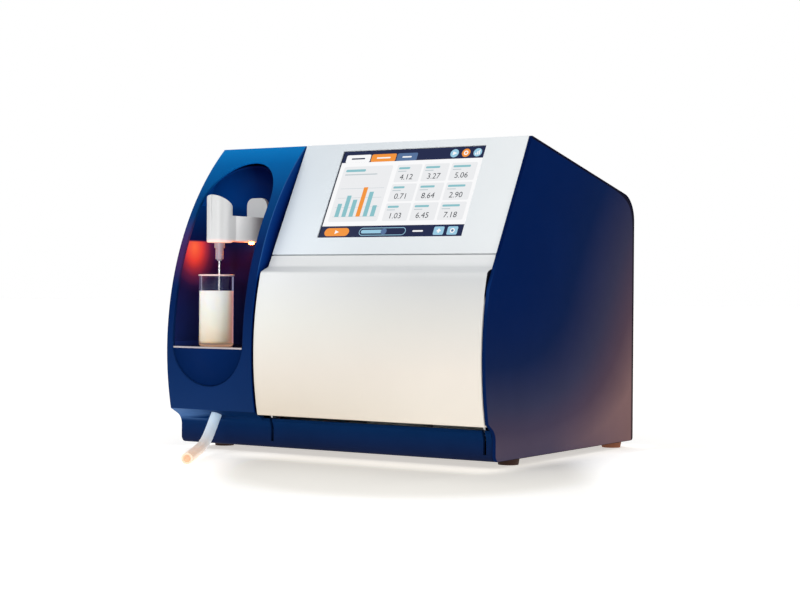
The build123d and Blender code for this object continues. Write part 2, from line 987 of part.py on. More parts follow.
with BuildPart() as milk_sample:
    rod(
        (beaker_x, beaker_y, shelf_height + beaker_floor),
        (0, 0, 1),
        beaker_radius - beaker_wall - milk_gap,
        milk_level - beaker_floor,
    )
    fillet(faces().sort_by(Axis.Z)[0].edges(), radius=beaker_corner)
    rod(
        (bay_x, needle_y, needle_tip_height - beaker_lift - needle_radius),
        (0, 0, 1),
        needle_radius + needle_well_gap,
        beaker_height,
        Mode.SUBTRACT,
    )

# Screen panel, touch glass and display on the slope
bezel_left = column_right + column_seam
bezel_right = inner_half_width
screen_centre = (
    (bezel_left + bezel_right) / 2 + screen_offset,
    screen_bottom + screen_height / 2,
)

with BuildPart() as screen_panel:
    with BuildSketch(slope_plane):
        with Locations((bezel_left, seam_gap / 2)):
            Rectangle(
                bezel_right - bezel_left,
                slope_length - seam_gap / 2,
                align=(Align.MIN, Align.MIN),
            )
    extrude(amount=-bezel_wall)
    for flange_x in (bezel_left, bezel_right - bezel_wall):
        with BuildSketch(slope_plane.offset(-bezel_wall)):
            with Locations((flange_x, seam_gap / 2)):
                Rectangle(
                    bezel_wall, slope_length - bezel_flange, align=(Align.MIN, Align.MIN)
                )
        extrude(amount=-bezel_flange + bezel_wall)
    with BuildSketch(slope_plane.offset(-bezel_wall)):
        with Locations((bezel_left, seam_gap / 2)):
            Rectangle(bezel_right - bezel_left, bezel_wall, align=(Align.MIN, Align.MIN))
    extrude(amount=-bezel_flange + bezel_wall)
    with BuildSketch(slope_plane):
        with Locations(screen_centre):
            Rectangle(screen_width, screen_height)
    extrude(amount=-bezel_wall, mode=Mode.SUBTRACT)

with BuildPart() as touch_glass:
    with BuildSketch(slope_plane.offset(-glass_recess)):
        with Locations(screen_centre):
            Rectangle(screen_width - 2 * glass_gap, screen_height - 2 * glass_gap)
    extrude(amount=-glass_wall)

with BuildPart() as lcd_module:
    with BuildSketch(slope_plane.offset(-bezel_wall)):
        with Locations(screen_centre):
            Rectangle(
                screen_width + 2 * display_margin, screen_height + 2 * display_margin
            )
    extrude(amount=-display_thickness)

# Door panel: a flush strip on the slope, a step forwards and the curved face below it
strip_top_s = -seam_gap / 2
strip_top = (
    seam_y + strip_top_s * sin(radians(slope_tilt)),
    seam_height + strip_top_s * cos(radians(slope_tilt)),
)
strip_bottom = (
    seam_y - door_strip_length * sin(radians(slope_tilt)),
    seam_height - door_strip_length * cos(radians(slope_tilt)),
)
step_front_z = strip_bottom[1] - door_step_drop
step_front = (front_arc(step_front_z, door_setback), step_front_z)
door_back = door_setback + door_depth
knee_back = (front_arc(door_knee_height, door_back), door_knee_height)
strip_back = (
    strip_top[0] + door_top_thickness * cos(radians(slope_tilt)),
    strip_top[1] - door_top_thickness * sin(radians(slope_tilt)),
)
door_foot = (front_arc(door_bottom, door_setback), door_bottom)

with BuildPart() as door_panel:
    with BuildSketch(Plane.YZ.offset(door_left)):
        with BuildLine():
            draw_front_arc(door_bottom, step_front_z, door_setback)
            Polyline(step_front, strip_bottom, strip_top, strip_back, knee_back)
            draw_front_arc(door_bottom, door_knee_height, door_back)
            Line((front_arc(door_bottom, door_back), door_bottom), door_foot)
        make_face()
        round_corner(strip_bottom, door_step_radius)
        round_corner(step_front, door_step_radius)
        round_corner(door_foot, door_edge_radius)
    extrude(amount=door_right - door_left)
    hollow_low = door_bottom + door_wall
    with BuildSketch(Plane.YZ.offset(door_left + door_wall)):
        with BuildLine():
            draw_front_arc(hollow_low, door_knee_height, door_setback + door_wall)
            draw_front_arc(hollow_low, door_knee_height, door_back + overrun)
            for cap_height_z in (hollow_low, door_knee_height):
                Line(
                    (front_arc(cap_height_z, door_setback + door_wall), cap_height_z),
                    (front_arc(cap_height_z, door_back + overrun), cap_height_z),
                )
        make_face()
    extrude(amount=door_right - door_left - 2 * door_wall, mode=Mode.SUBTRACT)

with BuildPart() as door_liner:
    liner_low = door_bottom + door_wall + part_gap
    liner_high = door_knee_height - part_gap
    with BuildSketch(Plane.YZ.offset(door_left + door_wall + part_gap)):
        with BuildLine():
            draw_front_arc(liner_low, liner_high, door_back - liner_wall)
            draw_front_arc(liner_low, liner_high, door_back)
            for liner_z in (liner_low, liner_high):
                Line(
                    (front_arc(liner_z, door_back - liner_wall), liner_z),
                    (front_arc(liner_z, door_back), liner_z),
                )
        make_face()
    extrude(amount=door_right - door_left - 2 * door_wall - 2 * part_gap)

with BuildPart() as hinge_arms:
    for hinge_x in hinge_places:
        with BuildSketch(Plane.YZ.offset(hinge_x - hinge_arm_wall / 2)):
            with Locations((hinge_y, hinge_height)):
                Circle(hinge_hub_radius)
            with BuildLine():
                Polyline(
                    (hinge_y - hinge_hub_radius, hinge_height),
                    (front_arc(hinge_pad_bottom, door_depth), hinge_pad_bottom),
                    (front_arc(hinge_pad_top, door_depth), hinge_pad_top),
                    (front_arc(hinge_pad_top, door_back) + hinge_pad_depth, hinge_pad_top),
                    (hinge_y, hinge_height + hinge_hub_radius),
                    close=True,
                )
            make_face()
        extrude(amount=hinge_arm_wall)
    cut_ahead_of_arc(door_back)
    rod(
        (-half_width, hinge_y, hinge_height),
        (1, 0, 0),
        hinge_pin_radius + running_clearance,
        body_width,
        Mode.SUBTRACT,
    )

with BuildPart() as hinge_brackets:
    ear_inner = hinge_arm_wall / 2 + hinge_side_gap
    ear_outer = ear_inner + hinge_ear_wall
    for hinge_x in hinge_places:
        for ear_x in (hinge_x - ear_outer, hinge_x + ear_inner):
            with BuildSketch(Plane.YZ.offset(ear_x)):
                with Locations((hinge_y, hinge_height)):
                    Circle(hinge_hub_radius - part_gap)
                with Locations((hinge_y, floor_height)):
                    Rectangle(
                        2 * (hinge_hub_radius - part_gap),
                        hinge_height - floor_height,
                        align=(Align.CENTER, Align.MIN),
                    )
            extrude(amount=hinge_ear_wall)
        block(
            (hinge_x - ear_outer, hinge_x + ear_outer),
            (hinge_y - hinge_hub_radius + part_gap, hinge_y + hinge_hub_radius),
            (floor_height, floor_height + hinge_ear_wall),
        )
    rod(
        (-half_width, hinge_y, hinge_height),
        (1, 0, 0),
        hinge_pin_radius,
        body_width,
        Mode.SUBTRACT,
    )

with BuildPart() as hinge_pins:
    for hinge_x in hinge_places:
        rod(
            (hinge_x - ear_outer - part_gap, hinge_y, hinge_height),
            (1, 0, 0),
            hinge_pin_radius,
            2 * (ear_outer + part_gap),
        )

# Push latch at the right, held by the right side panel
panel_inner_x = half_width - panel_wall
latch_x = panel_inner_x - latch_inset
latch_low = latch_height - latch_body_height / 2
striker_back_y = front_arc(latch_height, door_back) + striker_plate
latch_front_y = striker_back_y + latch_front_gap

with BuildPart() as latch_body:
    block(
        (latch_x - latch_width / 2, panel_inner_x),
        (latch_front_y, latch_front_y + latch_depth),
        (latch_low, latch_low + latch_body_height),
    )
    rod(
        (latch_x, latch_front_y - overrun, latch_height),
        (0, 1, 0),
        plunger_radius + running_clearance,
        latch_depth,
        Mode.SUBTRACT,
    )

with BuildPart() as latch_plunger:
    plunger_tip_y = striker_back_y + plunger_tip_gap
    plunger_end_y = latch_front_y + latch_depth - overrun - latch_stroke - part_gap
    rod(
        (latch_x, plunger_tip_y, latch_height),
        (0, 1, 0),
        plunger_radius,
        plunger_end_y - plunger_tip_y,
    )
    fillet(faces().sort_by(Axis.Y)[0].edges(), radius=plunger_radius / 3)

with BuildPart() as door_striker:
    block(
        (latch_x - latch_width / 2, latch_x + latch_width / 2),
        (front_arc(latch_height, door_back) - overrun, striker_back_y),
        (latch_height - striker_height / 2, latch_height + striker_height / 2),
    )
    cut_ahead_of_arc(door_back)

# Bulkhead between the service compartment and the electronics, with a wing on the left
bulkhead_back_y = bulkhead_y + sheet
bulkhead_top = top_line(bulkhead_back_y) - sheet / cos(radians(top_tilt)) - running_clearance
wing_left = column_right + panel_gap
pump_back_y = bulkhead_y
pump_front_y = bulkhead_y - pump_block_depth

with BuildPart() as bulkhead:
    block(
        (wing_left, inner_half_width - base_wall),
        (bulkhead_y, bulkhead_back_y),
        (floor_height, bulkhead_top),
    )
    block(
        (wing_left, wing_left + sheet),
        (front_y + bulkhead_wing_front, bulkhead_back_y),
        (floor_height, bulkhead_wing_height),
    )
    rod(
        (pump_x, bulkhead_y - overrun, pump_height),
        (0, 1, 0),
        2 * pump_shaft_radius,
        2 * overrun + sheet,
        Mode.SUBTRACT,
    )

with BuildPart() as service_deck:
    deck_x = (wing_left + sheet + deck_side_gap, inner_half_width - base_wall - deck_side_gap)
    deck_front_y = front_y + deck_front_inset
    deck_back_y = bulkhead_y - part_gap
    block(deck_x, (deck_front_y, deck_back_y), (deck_height - sheet, deck_height))
    for flange_y in (deck_front_y, deck_back_y - sheet):
        block(deck_x, (flange_y, flange_y + sheet), (floor_height, deck_height))

# Reagent bottles and caps
bottle_y = (deck_front_y + deck_back_y) / 2
bottle_first_x = bottle_left + bottle_width / 2
bottle_places = [
    (bottle_first_x + index * bottle_pitch, bottle_y) for index in range(bottle_count)
]
bottle_top = deck_height + bottle_height
neck_top = bottle_top + bottle_shoulder + bottle_neck_height

with BuildPart() as reagent_bottles:
    for place in bottle_places:
        with BuildSketch(Plane.XY.offset(deck_height)):
            with Locations(place):
                RectangleRounded(bottle_width, bottle_depth, bottle_corner)
        extrude(amount=bottle_height)
        with BuildSketch(Plane.XY.offset(bottle_top)):
            with Locations(place):
                RectangleRounded(bottle_width, bottle_depth, bottle_corner)
        extrude(amount=bottle_shoulder, taper=45)
        with Locations((place[0], place[1], bottle_top)):
            Cylinder(
                bottle_neck_radius,
                neck_top - bottle_top,
                align=(Align.CENTER, Align.CENTER, Align.MIN),
            )

with BuildPart() as bottle_caps:
    for place in bottle_places:
        cap_bottom = neck_top - cap_overlap
        rod((place[0], place[1], cap_bottom), (0, 0, 1), cap_radius, cap_height)
        rod(
            (place[0], place[1], cap_bottom - overrun),
            (0, 0, 1),
            bottle_neck_radius + part_gap,
            cap_overlap + overrun,
            Mode.SUBTRACT,
        )
    fillet(faces().group_by(Axis.Z)[-1].edges(), radius=sheet)

# Peristaltic pump on the front of the bulkhead
with BuildPart() as pump_housing:
    block(
        (pump_x - pump_block / 2, pump_x + pump_block / 2),
        (pump_front_y, pump_back_y),
        (pump_height - pump_block / 2, pump_height + pump_block / 2),
    )
    fillet(edges().filter_by(Axis.Y), radius=2 * bezel_wall)
    rod(
        (pump_x, pump_front_y, pump_height),
        (0, 1, 0),
        pump_pocket_radius,
        pump_pocket_depth,
        Mode.SUBTRACT,
    )
    rod(
        (pump_x, pump_front_y, pump_height),
        (0, 1, 0),
        pump_shaft_radius + running_clearance,
        pump_block_depth,
        Mode.SUBTRACT,
    )
    for side in (-1, 1):
        tube_x = pump_x + side * pump_tube_bend
        block(
            (tube_x - pump_tube_radius - part_gap, tube_x + pump_tube_radius + part_gap),
            (pump_front_y, pump_front_y + pump_pocket_depth),
            (pump_height - pump_block, pump_height),
            Mode.SUBTRACT,
        )

pump_tube_y = pump_front_y + pump_pocket_depth / 2 - pump_disc_wall
valve_block_top = deck_height + valve_block_height

with BuildPart() as pump_tube:
    with BuildLine() as tube_line:
        left_x = pump_x - pump_tube_bend
        right_x = pump_x + pump_tube_bend
        Line((left_x, pump_tube_y, valve_block_top), (left_x, pump_tube_y, pump_height))
        ThreePointArc(
            (left_x, pump_tube_y, pump_height),
            (pump_x, pump_tube_y, pump_height + pump_tube_bend),
            (right_x, pump_tube_y, pump_height),
        )
        Line((right_x, pump_tube_y, pump_height), (right_x, pump_tube_y, valve_block_top))
    with BuildSketch(Plane(origin=(left_x, pump_tube_y, valve_block_top), z_dir=(0, 0, 1))):
        Circle(pump_tube_radius)
    sweep(path=tube_line.wires()[0])

rotor_front_y = pump_front_y + pump_disc_wall / 2
roller_front_y = rotor_front_y + pump_disc_wall
roller_back_y = roller_front_y + pump_roller_length

with BuildPart() as pump_rotor:
    for disc_y in (rotor_front_y, roller_back_y):
        rod((pump_x, disc_y, pump_height), (0, 1, 0), pump_disc_radius, pump_disc_wall)
    rod(
        (pump_x, rotor_front_y, pump_height), (0, 1, 0), pump_shaft_radius, pump_shaft_length
    )

with BuildPart() as pump_rollers:
    for index in range(pump_roller_count):
        angle = 2 * pi * index / pump_roller_count
        rod(
            (
                pump_x + pump_roller_circle * sin(angle),
                roller_front_y,
                pump_height + pump_roller_circle * cos(angle),
            ),
            (0, 1, 0),
            pump_roller_radius,
            pump_roller_length,
        )

with BuildPart() as pump_motor:
    rod(
        (pump_x, bulkhead_back_y, pump_height), (0, 1, 0), pump_motor_radius, pump_motor_length
    )
    rod(
        (pump_x, bulkhead_back_y, pump_height),
        (0, 1, 0),
        pump_shaft_radius + running_clearance,
        pump_motor_length / 2,
        Mode.SUBTRACT,
    )

# Valve block with two valves
valve_block_right = pump_x + pump_block / 2 - valve_block_inset
valve_block_left = valve_block_right - valve_block_width
valve_block_back_y = bulkhead_y - valve_block_rear_gap
valve_mid_x = (valve_block_left + valve_block_right) / 2
valve_y = valve_block_back_y - valve_block_depth / 2

with BuildPart() as valve_block:
    block(
        (valve_block_left, valve_block_right),
        (valve_block_back_y - valve_block_depth, valve_block_back_y),
        (deck_height, valve_block_top),
    )
    chamfer(edges().filter_by(Axis.Z), length=sheet)

with BuildPart() as solenoid_valves:
    for side in (-1, 1):
        rod(
            (valve_mid_x + side * valve_spacing / 2, valve_y, valve_block_top),
            (0, 0, 1),
            valve_radius,
            valve_height,
        )

# Optics bench, interferometer, infrared source, cuvette and detector
bench_left = column_right + bench_left_inset
bench_front_y = bulkhead_back_y + bench_front_gap
bench_x = (bench_left, bench_left + bench_width)
bench_y = (bench_front_y, bench_front_y + bench_depth)
optics_y = bench_front_y + optics_axis_inset
optics_height = bench_height + optics_axis_height
interferometer_left = bench_left + interferometer_left_gap
interferometer_right = interferometer_left + interferometer_width
cuvette_right = interferometer_right + cuvette_width

with BuildPart() as optics_bench:
    block(bench_x, bench_y, (bench_height - bench_wall, bench_height))
    for leg_x in (bench_x[0] + bench_leg_inset, bench_x[1] - bench_leg_inset):
        for leg_y in (bench_y[0] + bench_leg_inset, bench_y[1] - bench_leg_inset):
            rod(
                (leg_x, leg_y, floor_height),
                (0, 0, 1),
                bench_leg_radius,
                bench_height - bench_wall - floor_height,
            )

with BuildPart() as interferometer:
    block(
        (interferometer_left, interferometer_right),
        (
            optics_y - interferometer_depth / 2,
            optics_y + interferometer_depth / 2,
        ),
        (bench_height, bench_height + interferometer_height),
    )
    fillet(edges().filter_by(Axis.Z), radius=interferometer_corner)
    chamfer(faces().sort_by(Axis.Z)[-1].edges(), length=interferometer_corner / 2)

with BuildPart() as infrared_source:
    source_start = interferometer_left - source_length
    rod((source_start, optics_y, optics_height), (1, 0, 0), source_radius, source_length)
    for index in range(source_fin_count):
        fin_x = source_start + (index + 0.5) * source_length / (source_fin_count + 1)
        rod((fin_x, optics_y, optics_height), (1, 0, 0), source_fin_radius, source_fin_wall)

with BuildPart() as cuvette_block:
    block(
        (interferometer_right, cuvette_right),
        (optics_y - cuvette_depth / 2, optics_y + cuvette_depth / 2),
        (bench_height, bench_height + cuvette_height),
    )
    rod(
        (interferometer_right - overrun, optics_y, optics_height),
        (1, 0, 0),
        cuvette_bore,
        cuvette_width + 2 * overrun,
        Mode.SUBTRACT,
    )

with BuildPart() as optics_detector:
    rod((cuvette_right, optics_y, optics_height), (1, 0, 0), detector_radius, detector_length)
    block(
        (
            cuvette_right + detector_length / 2,
            cuvette_right + detector_length / 2 + detector_foot_width,
        ),
        (optics_y - detector_radius, optics_y + detector_radius),
        (bench_height, optics_height),
    )

supply_back_y = back_y - supply_rear_gap
supply_front_y = supply_back_y - supply_depth

with BuildPart() as homogenizer:
    lift_motor_right = bay_x + lift_motor_width / 2
    homogenizer_x = lift_motor_right + homogenizer_side_gap + homogenizer_motor_radius
    homogenizer_y = supply_front_y - homogenizer_gap - homogenizer_flange_radius
    stack = (
        (homogenizer_flange_radius, homogenizer_flange_height),
        (homogenizer_body_radius, homogenizer_body_height),
        (homogenizer_head_radius, homogenizer_head_height),
        (homogenizer_motor_radius, homogenizer_motor_height),
    )
    stack_bottom = floor_height
    for stack_radius, stack_height in stack:
        rod((homogenizer_x, homogenizer_y, stack_bottom), (0, 0, 1), stack_radius, stack_height)
        stack_bottom += stack_height

with BuildPart() as power_supply:
    supply_left = -half_width + panel_wall + supply_side_gap
    supply_top = floor_height + supply_height
    block(
        (supply_left, supply_left + supply_width),
        (supply_front_y, supply_back_y),
        (floor_height, supply_top),
    )
    for index in range(supply_slot_count):
        slot_x = supply_left + (index + 1) * supply_slot_pitch
        block(
            (slot_x, slot_x + supply_slot_width),
            (
                supply_back_y - supply_depth / 2 - supply_slot_length / 2,
                supply_back_y - supply_depth / 2 + supply_slot_length / 2,
            ),
            (supply_top - sheet, supply_top + overrun),
            Mode.SUBTRACT,
        )

# Main board on stand-offs from the right side panel
board_right = panel_inner_x - board_stand
board_left = board_right - board_wall
board_front_y = bulkhead_back_y + board_front_gap
board_back_y = rear_panel_y - board_rear_gap
board_top = top_line(board_back_y) - board_top_gap
board_depth = board_back_y - board_front_y
board_height = board_top - board_bottom
board_y = (board_front_y, board_back_y)
board_z = (board_bottom, board_top)

with BuildPart() as board_standoffs:
    for stand_y in (board_y[0] + standoff_inset, board_y[1] - standoff_inset):
        for stand_z in (board_z[0] + standoff_inset, board_z[1] - standoff_inset):
            rod((board_right, stand_y, stand_z), (1, 0, 0), standoff_radius, board_stand)

chip_shares = ((0.2, 0.3), (0.2, 0.7), (0.75, 0.25))
heatsink_share = (0.5, 0.55)
connector_shares = ((0.4, 0.94), (0.75, 0.94))

with BuildPart() as main_board:
    block((board_left, board_right), board_y, board_z)
    for share_y, share_z in chip_shares:
        chip_y = board_y[0] + share_y * board_depth
        chip_z = board_z[0] + share_z * board_height
        block(
            (board_left - chip_height, board_left),
            (chip_y - chip_width / 2, chip_y + chip_width / 2),
            (chip_z - chip_width / 2, chip_z + chip_width / 2),
        )
    sink_y = board_y[0] + heatsink_share[0] * board_depth
    sink_z = board_z[0] + heatsink_share[1] * board_height
    sink_y_range = (sink_y - heatsink_width / 2, sink_y + heatsink_width / 2)
    block(
        (board_left - heatsink_base, board_left),
        sink_y_range,
        (sink_z - heatsink_width / 2, sink_z + heatsink_width / 2),
    )
    fin_pitch = (heatsink_width - heatsink_fin) / (heatsink_fin_count - 1)
    for index in range(heatsink_fin_count):
        fin_z = sink_z - heatsink_width / 2 + index * fin_pitch
        block(
            (board_left - heatsink_height, board_left),
            sink_y_range,
            (fin_z, fin_z + heatsink_fin),
        )
    for share_y, share_z in connector_shares:
        plug_y = board_y[0] + share_y * board_depth
        plug_z = board_z[0] + share_z * board_height
        block(
            (board_left - connector_height, board_left),
            (plug_y - connector_length / 2, plug_y + connector_length / 2),
            (plug_z - connector_width / 2, plug_z + connector_width / 2),
        )

# Top cover: one bent sheet over the top and down the back
cover_front_y = slope_top_y + bezel_wall + cover_front_gap
cover_thickness = sheet / cos(radians(top_tilt))
cover_outer_y = back_y

with BuildPart() as top_cover:
    with BuildSketch(Plane.YZ.offset(-inner_half_width)):
        with BuildLine():
            outer_corner = (cover_outer_y, top_line(cover_outer_y))
            inner_corner = (cover_outer_y - sheet, top_line(cover_outer_y - sheet) - cover_thickness)
            Polyline(
                (cover_front_y, top_line(cover_front_y)),
                outer_corner,
                (cover_outer_y, cover_drop_height),
                (cover_outer_y - sheet, cover_drop_height),
                inner_corner,
                (cover_front_y, top_line(cover_front_y) - cover_thickness),
                close=True,
            )
        make_face()
        round_corner(inner_corner, rear_corner_radius - sheet)
        round_corner(outer_corner, rear_corner_radius)
    extrude(amount=2 * inner_half_width)
    cut_column_side(-half_width, column_right + column_seam)

# Rear panel with cut-outs
rear_inner_y = rear_panel_y - sheet
rear_top_height = cover_drop_height + cover_lap
rear_screw_x = (-inner_half_width + screw_inset_x, 0, inner_half_width - screw_inset_x)
rear_screw_z = (door_sill_height + screw_inset_z, cover_drop_height - screw_inset_z)
rear_screw_places = [(x, z) for x in rear_screw_x for z in rear_screw_z]


def through_rear(x, z, mode=Mode.SUBTRACT):
    """Cut a rectangle, given by its X and Z ranges, through the rear panel."""
    block(x, (rear_inner_y - overrun, back_y + overrun), z, mode)


with BuildPart() as rear_panel:
    block(
        (-inner_half_width, inner_half_width),
        (rear_inner_y, rear_panel_y),
        (door_sill_height, rear_top_height),
    )
    rod(
        (fan_x, rear_inner_y - overrun, fan_height),
        (0, 1, 0),
        fan_duct_radius,
        3 * overrun,
        Mode.SUBTRACT,
    )
    through_rear(
        (
            inlet_x - inlet_body_width / 2 - part_gap,
            inlet_x + inlet_body_width / 2 + part_gap,
        ),
        (
            inlet_height - inlet_body_height / 2 - part_gap,
            inlet_height + inlet_body_height / 2 + part_gap,
        ),
    )
    through_rear(
        (ports_left + sheet, ports_left + ports_width - sheet),
        (ports_bottom + sheet, ports_bottom + ports_height - sheet),
    )
    for index in range(vent_count):
        vent_x = vent_left + index * vent_pitch
        through_rear((vent_x, vent_x + vent_width), (vent_bottom, vent_bottom + vent_length))
    for screw_x, screw_z in rear_screw_places:
        rod(
            (screw_x, rear_inner_y - overrun, screw_z),
            (0, 1, 0),
            screw_shank_radius + screw_hole_gap,
            3 * overrun,
            Mode.SUBTRACT,
        )

with BuildPart() as case_screws:
    for screw_x, screw_z in rear_screw_places:
        rod((screw_x, rear_panel_y, screw_z), (0, 1, 0), screw_head_radius, screw_head_height)
        rod(
            (screw_x, rear_panel_y, screw_z),
            (0, -1, 0),
            screw_shank_radius,
            screw_shank_length,
        )

# Fan with its frame, rotor and guard
fan_back_y = rear_inner_y
fan_front_y = fan_back_y - fan_depth
fan_stator_y = fan_back_y - fan_stator

with BuildPart() as fan_frame:
    block(
        (fan_x - fan_width / 2, fan_x + fan_width / 2),
        (fan_front_y, fan_back_y),
        (fan_height - fan_width / 2, fan_height + fan_width / 2),
    )
    fillet(edges().filter_by(Axis.Y), radius=2 * fan_stator)
    rod(
        (fan_x, fan_front_y - overrun, fan_height),
        (0, 1, 0),
        fan_duct_radius,
        fan_depth + 2 * overrun,
        Mode.SUBTRACT,
    )
    rod((fan_x, fan_stator_y, fan_height), (0, 1, 0), fan_hub_radius, fan_stator)
    for tilt in (0, 60, 120):
        with BuildSketch(Plane.XZ.offset(-fan_back_y)):
            with Locations((fan_x, fan_height)):
                Rectangle(2 * fan_duct_radius + fan_stator, fan_strut_width, rotation=tilt)
        extrude(amount=fan_stator)
    rod(
        (fan_x, fan_stator_y, fan_height),
        (0, -1, 0),
        fan_pin_radius,
        fan_depth - 2 * fan_stator,
    )

with BuildPart() as fan_rotor:
    rotor_back_y = fan_stator_y - fan_hub_gap
    rotor_front = fan_front_y + fan_hub_gap
    rod(
        (fan_x, rotor_front, fan_height), (0, 1, 0), fan_hub_radius, rotor_back_y - rotor_front
    )
    blade_mid_y = (rotor_front + rotor_back_y) / 2
    for index in range(fan_blade_count):
        angle = 2 * pi * index / fan_blade_count
        tilt = radians(fan_blade_tilt)
        spoke = Plane(
            origin=(fan_x, blade_mid_y, fan_height),
            x_dir=(cos(angle), 0, sin(angle)),
            z_dir=(-sin(tilt) * sin(angle), cos(tilt), sin(tilt) * cos(angle)),
        )
        with Locations(spoke):
            Box(
                fan_blade_reach,
                fan_blade_wall,
                fan_blade_chord,
                align=(Align.MIN, Align.CENTER, Align.CENTER),
            )
    rod(
        (fan_x, rotor_front - overrun, fan_height),
        (0, 1, 0),
        fan_pin_radius + running_clearance,
        fan_depth + 2 * overrun,
        Mode.SUBTRACT,
    )

with BuildPart() as fan_guard:
    guard_outer = fan_duct_radius + guard_wire
    with BuildSketch(Plane.XZ.offset(-back_y)):
        with Locations((fan_x, fan_height)):
            for index in range(guard_ring_count):
                ring_radius = guard_outer - index * guard_ring_pitch
                Circle(ring_radius)
                Circle(ring_radius - guard_wire, mode=Mode.SUBTRACT)
            for tilt in (0, 90):
                Rectangle(2 * guard_outer - guard_wire, guard_wire, rotation=tilt)
    extrude(amount=sheet)

# Power inlet with its switch, and the data sockets
socket_x = inlet_x - inlet_socket_offset
switch_x = inlet_x + switch_offset
rocker_y = back_y - rocker_protrusion - rocker_radius + sheet

with BuildPart() as power_inlet:
    block(
        (inlet_x - inlet_flange_width / 2, inlet_x + inlet_flange_width / 2),
        (rear_panel_y, back_y),
        (
            inlet_height - inlet_flange_height / 2,
            inlet_height + inlet_flange_height / 2,
        ),
    )
    fillet(edges().filter_by(Axis.Y), radius=sheet)
    block(
        (inlet_x - inlet_body_width / 2, inlet_x + inlet_body_width / 2),
        (back_y - inlet_body_depth, rear_panel_y),
        (inlet_height - inlet_body_height / 2, inlet_height + inlet_body_height / 2),
    )
    block(
        (socket_x - inlet_pocket_width / 2, socket_x + inlet_pocket_width / 2),
        (back_y - inlet_pocket_depth, back_y + overrun),
        (inlet_height - inlet_pocket_height / 2, inlet_height + inlet_pocket_height / 2),
        Mode.SUBTRACT,
    )
    for index in (-1, 0, 1):
        blade_x = socket_x + index * inlet_blade_pitch
        block(
            (blade_x - inlet_blade_width / 2, blade_x + inlet_blade_width / 2),
            (back_y - inlet_pocket_depth, back_y - inlet_blade_recess),
            (inlet_height - inlet_blade_height / 2, inlet_height + inlet_blade_height / 2),
        )
    rod(
        (switch_x - rocker_width / 2 - part_gap, rocker_y, inlet_height),
        (1, 0, 0),
        rocker_radius + running_clearance,
        rocker_width + 2 * part_gap,
        Mode.SUBTRACT,
    )
    block(
        (
            switch_x - rocker_width / 2 - part_gap,
            switch_x + rocker_width / 2 + part_gap,
        ),
        (rocker_y, back_y + overrun),
        (
            inlet_height - rocker_radius - running_clearance,
            inlet_height + rocker_radius + running_clearance,
        ),
        Mode.SUBTRACT,
    )

with BuildPart() as power_rocker:
    rod(
        (switch_x - rocker_width / 2, rocker_y, inlet_height),
        (1, 0, 0),
        rocker_radius,
        rocker_width,
    )
    with BuildSketch(Plane.YZ.offset(switch_x - rocker_width)):
        with BuildLine():
            face_y = rocker_y + rocker_radius - sheet
            face_run = rocker_radius * tan(radians(rocker_travel))
            Polyline(
                (face_y, inlet_height),
                (face_y + face_run, inlet_height + rocker_radius),
                (face_y + rocker_radius, inlet_height + rocker_radius),
                (face_y + rocker_radius, inlet_height - rocker_radius),
                (face_y, inlet_height - rocker_radius),
                close=True,
            )
        make_face()
    extrude(amount=2 * rocker_width, mode=Mode.SUBTRACT)

with BuildPart() as data_ports:
    block(
        (ports_left, ports_left + ports_width),
        (rear_inner_y - ports_depth, rear_inner_y),
        (ports_bottom, ports_bottom + ports_height),
    )
    usb_x = ports_left + ports_width / 4
    lan_x = ports_left + 3 * ports_width / 4
    ports_mid = ports_bottom + ports_height / 2
    for usb_z in (ports_mid - usb_height * 0.75, ports_mid + usb_height * 0.75):
        block(
            (usb_x - usb_width / 2, usb_x + usb_width / 2),
            (rear_inner_y - port_pocket, rear_inner_y + overrun),
            (usb_z - usb_height / 2, usb_z + usb_height / 2),
            Mode.SUBTRACT,
        )
    block(
        (lan_x - lan_width / 2, lan_x + lan_width / 2),
        (rear_inner_y - port_pocket, rear_inner_y + overrun),
        (ports_mid - lan_height / 2, ports_mid + lan_height / 2),
        Mode.SUBTRACT,
    )

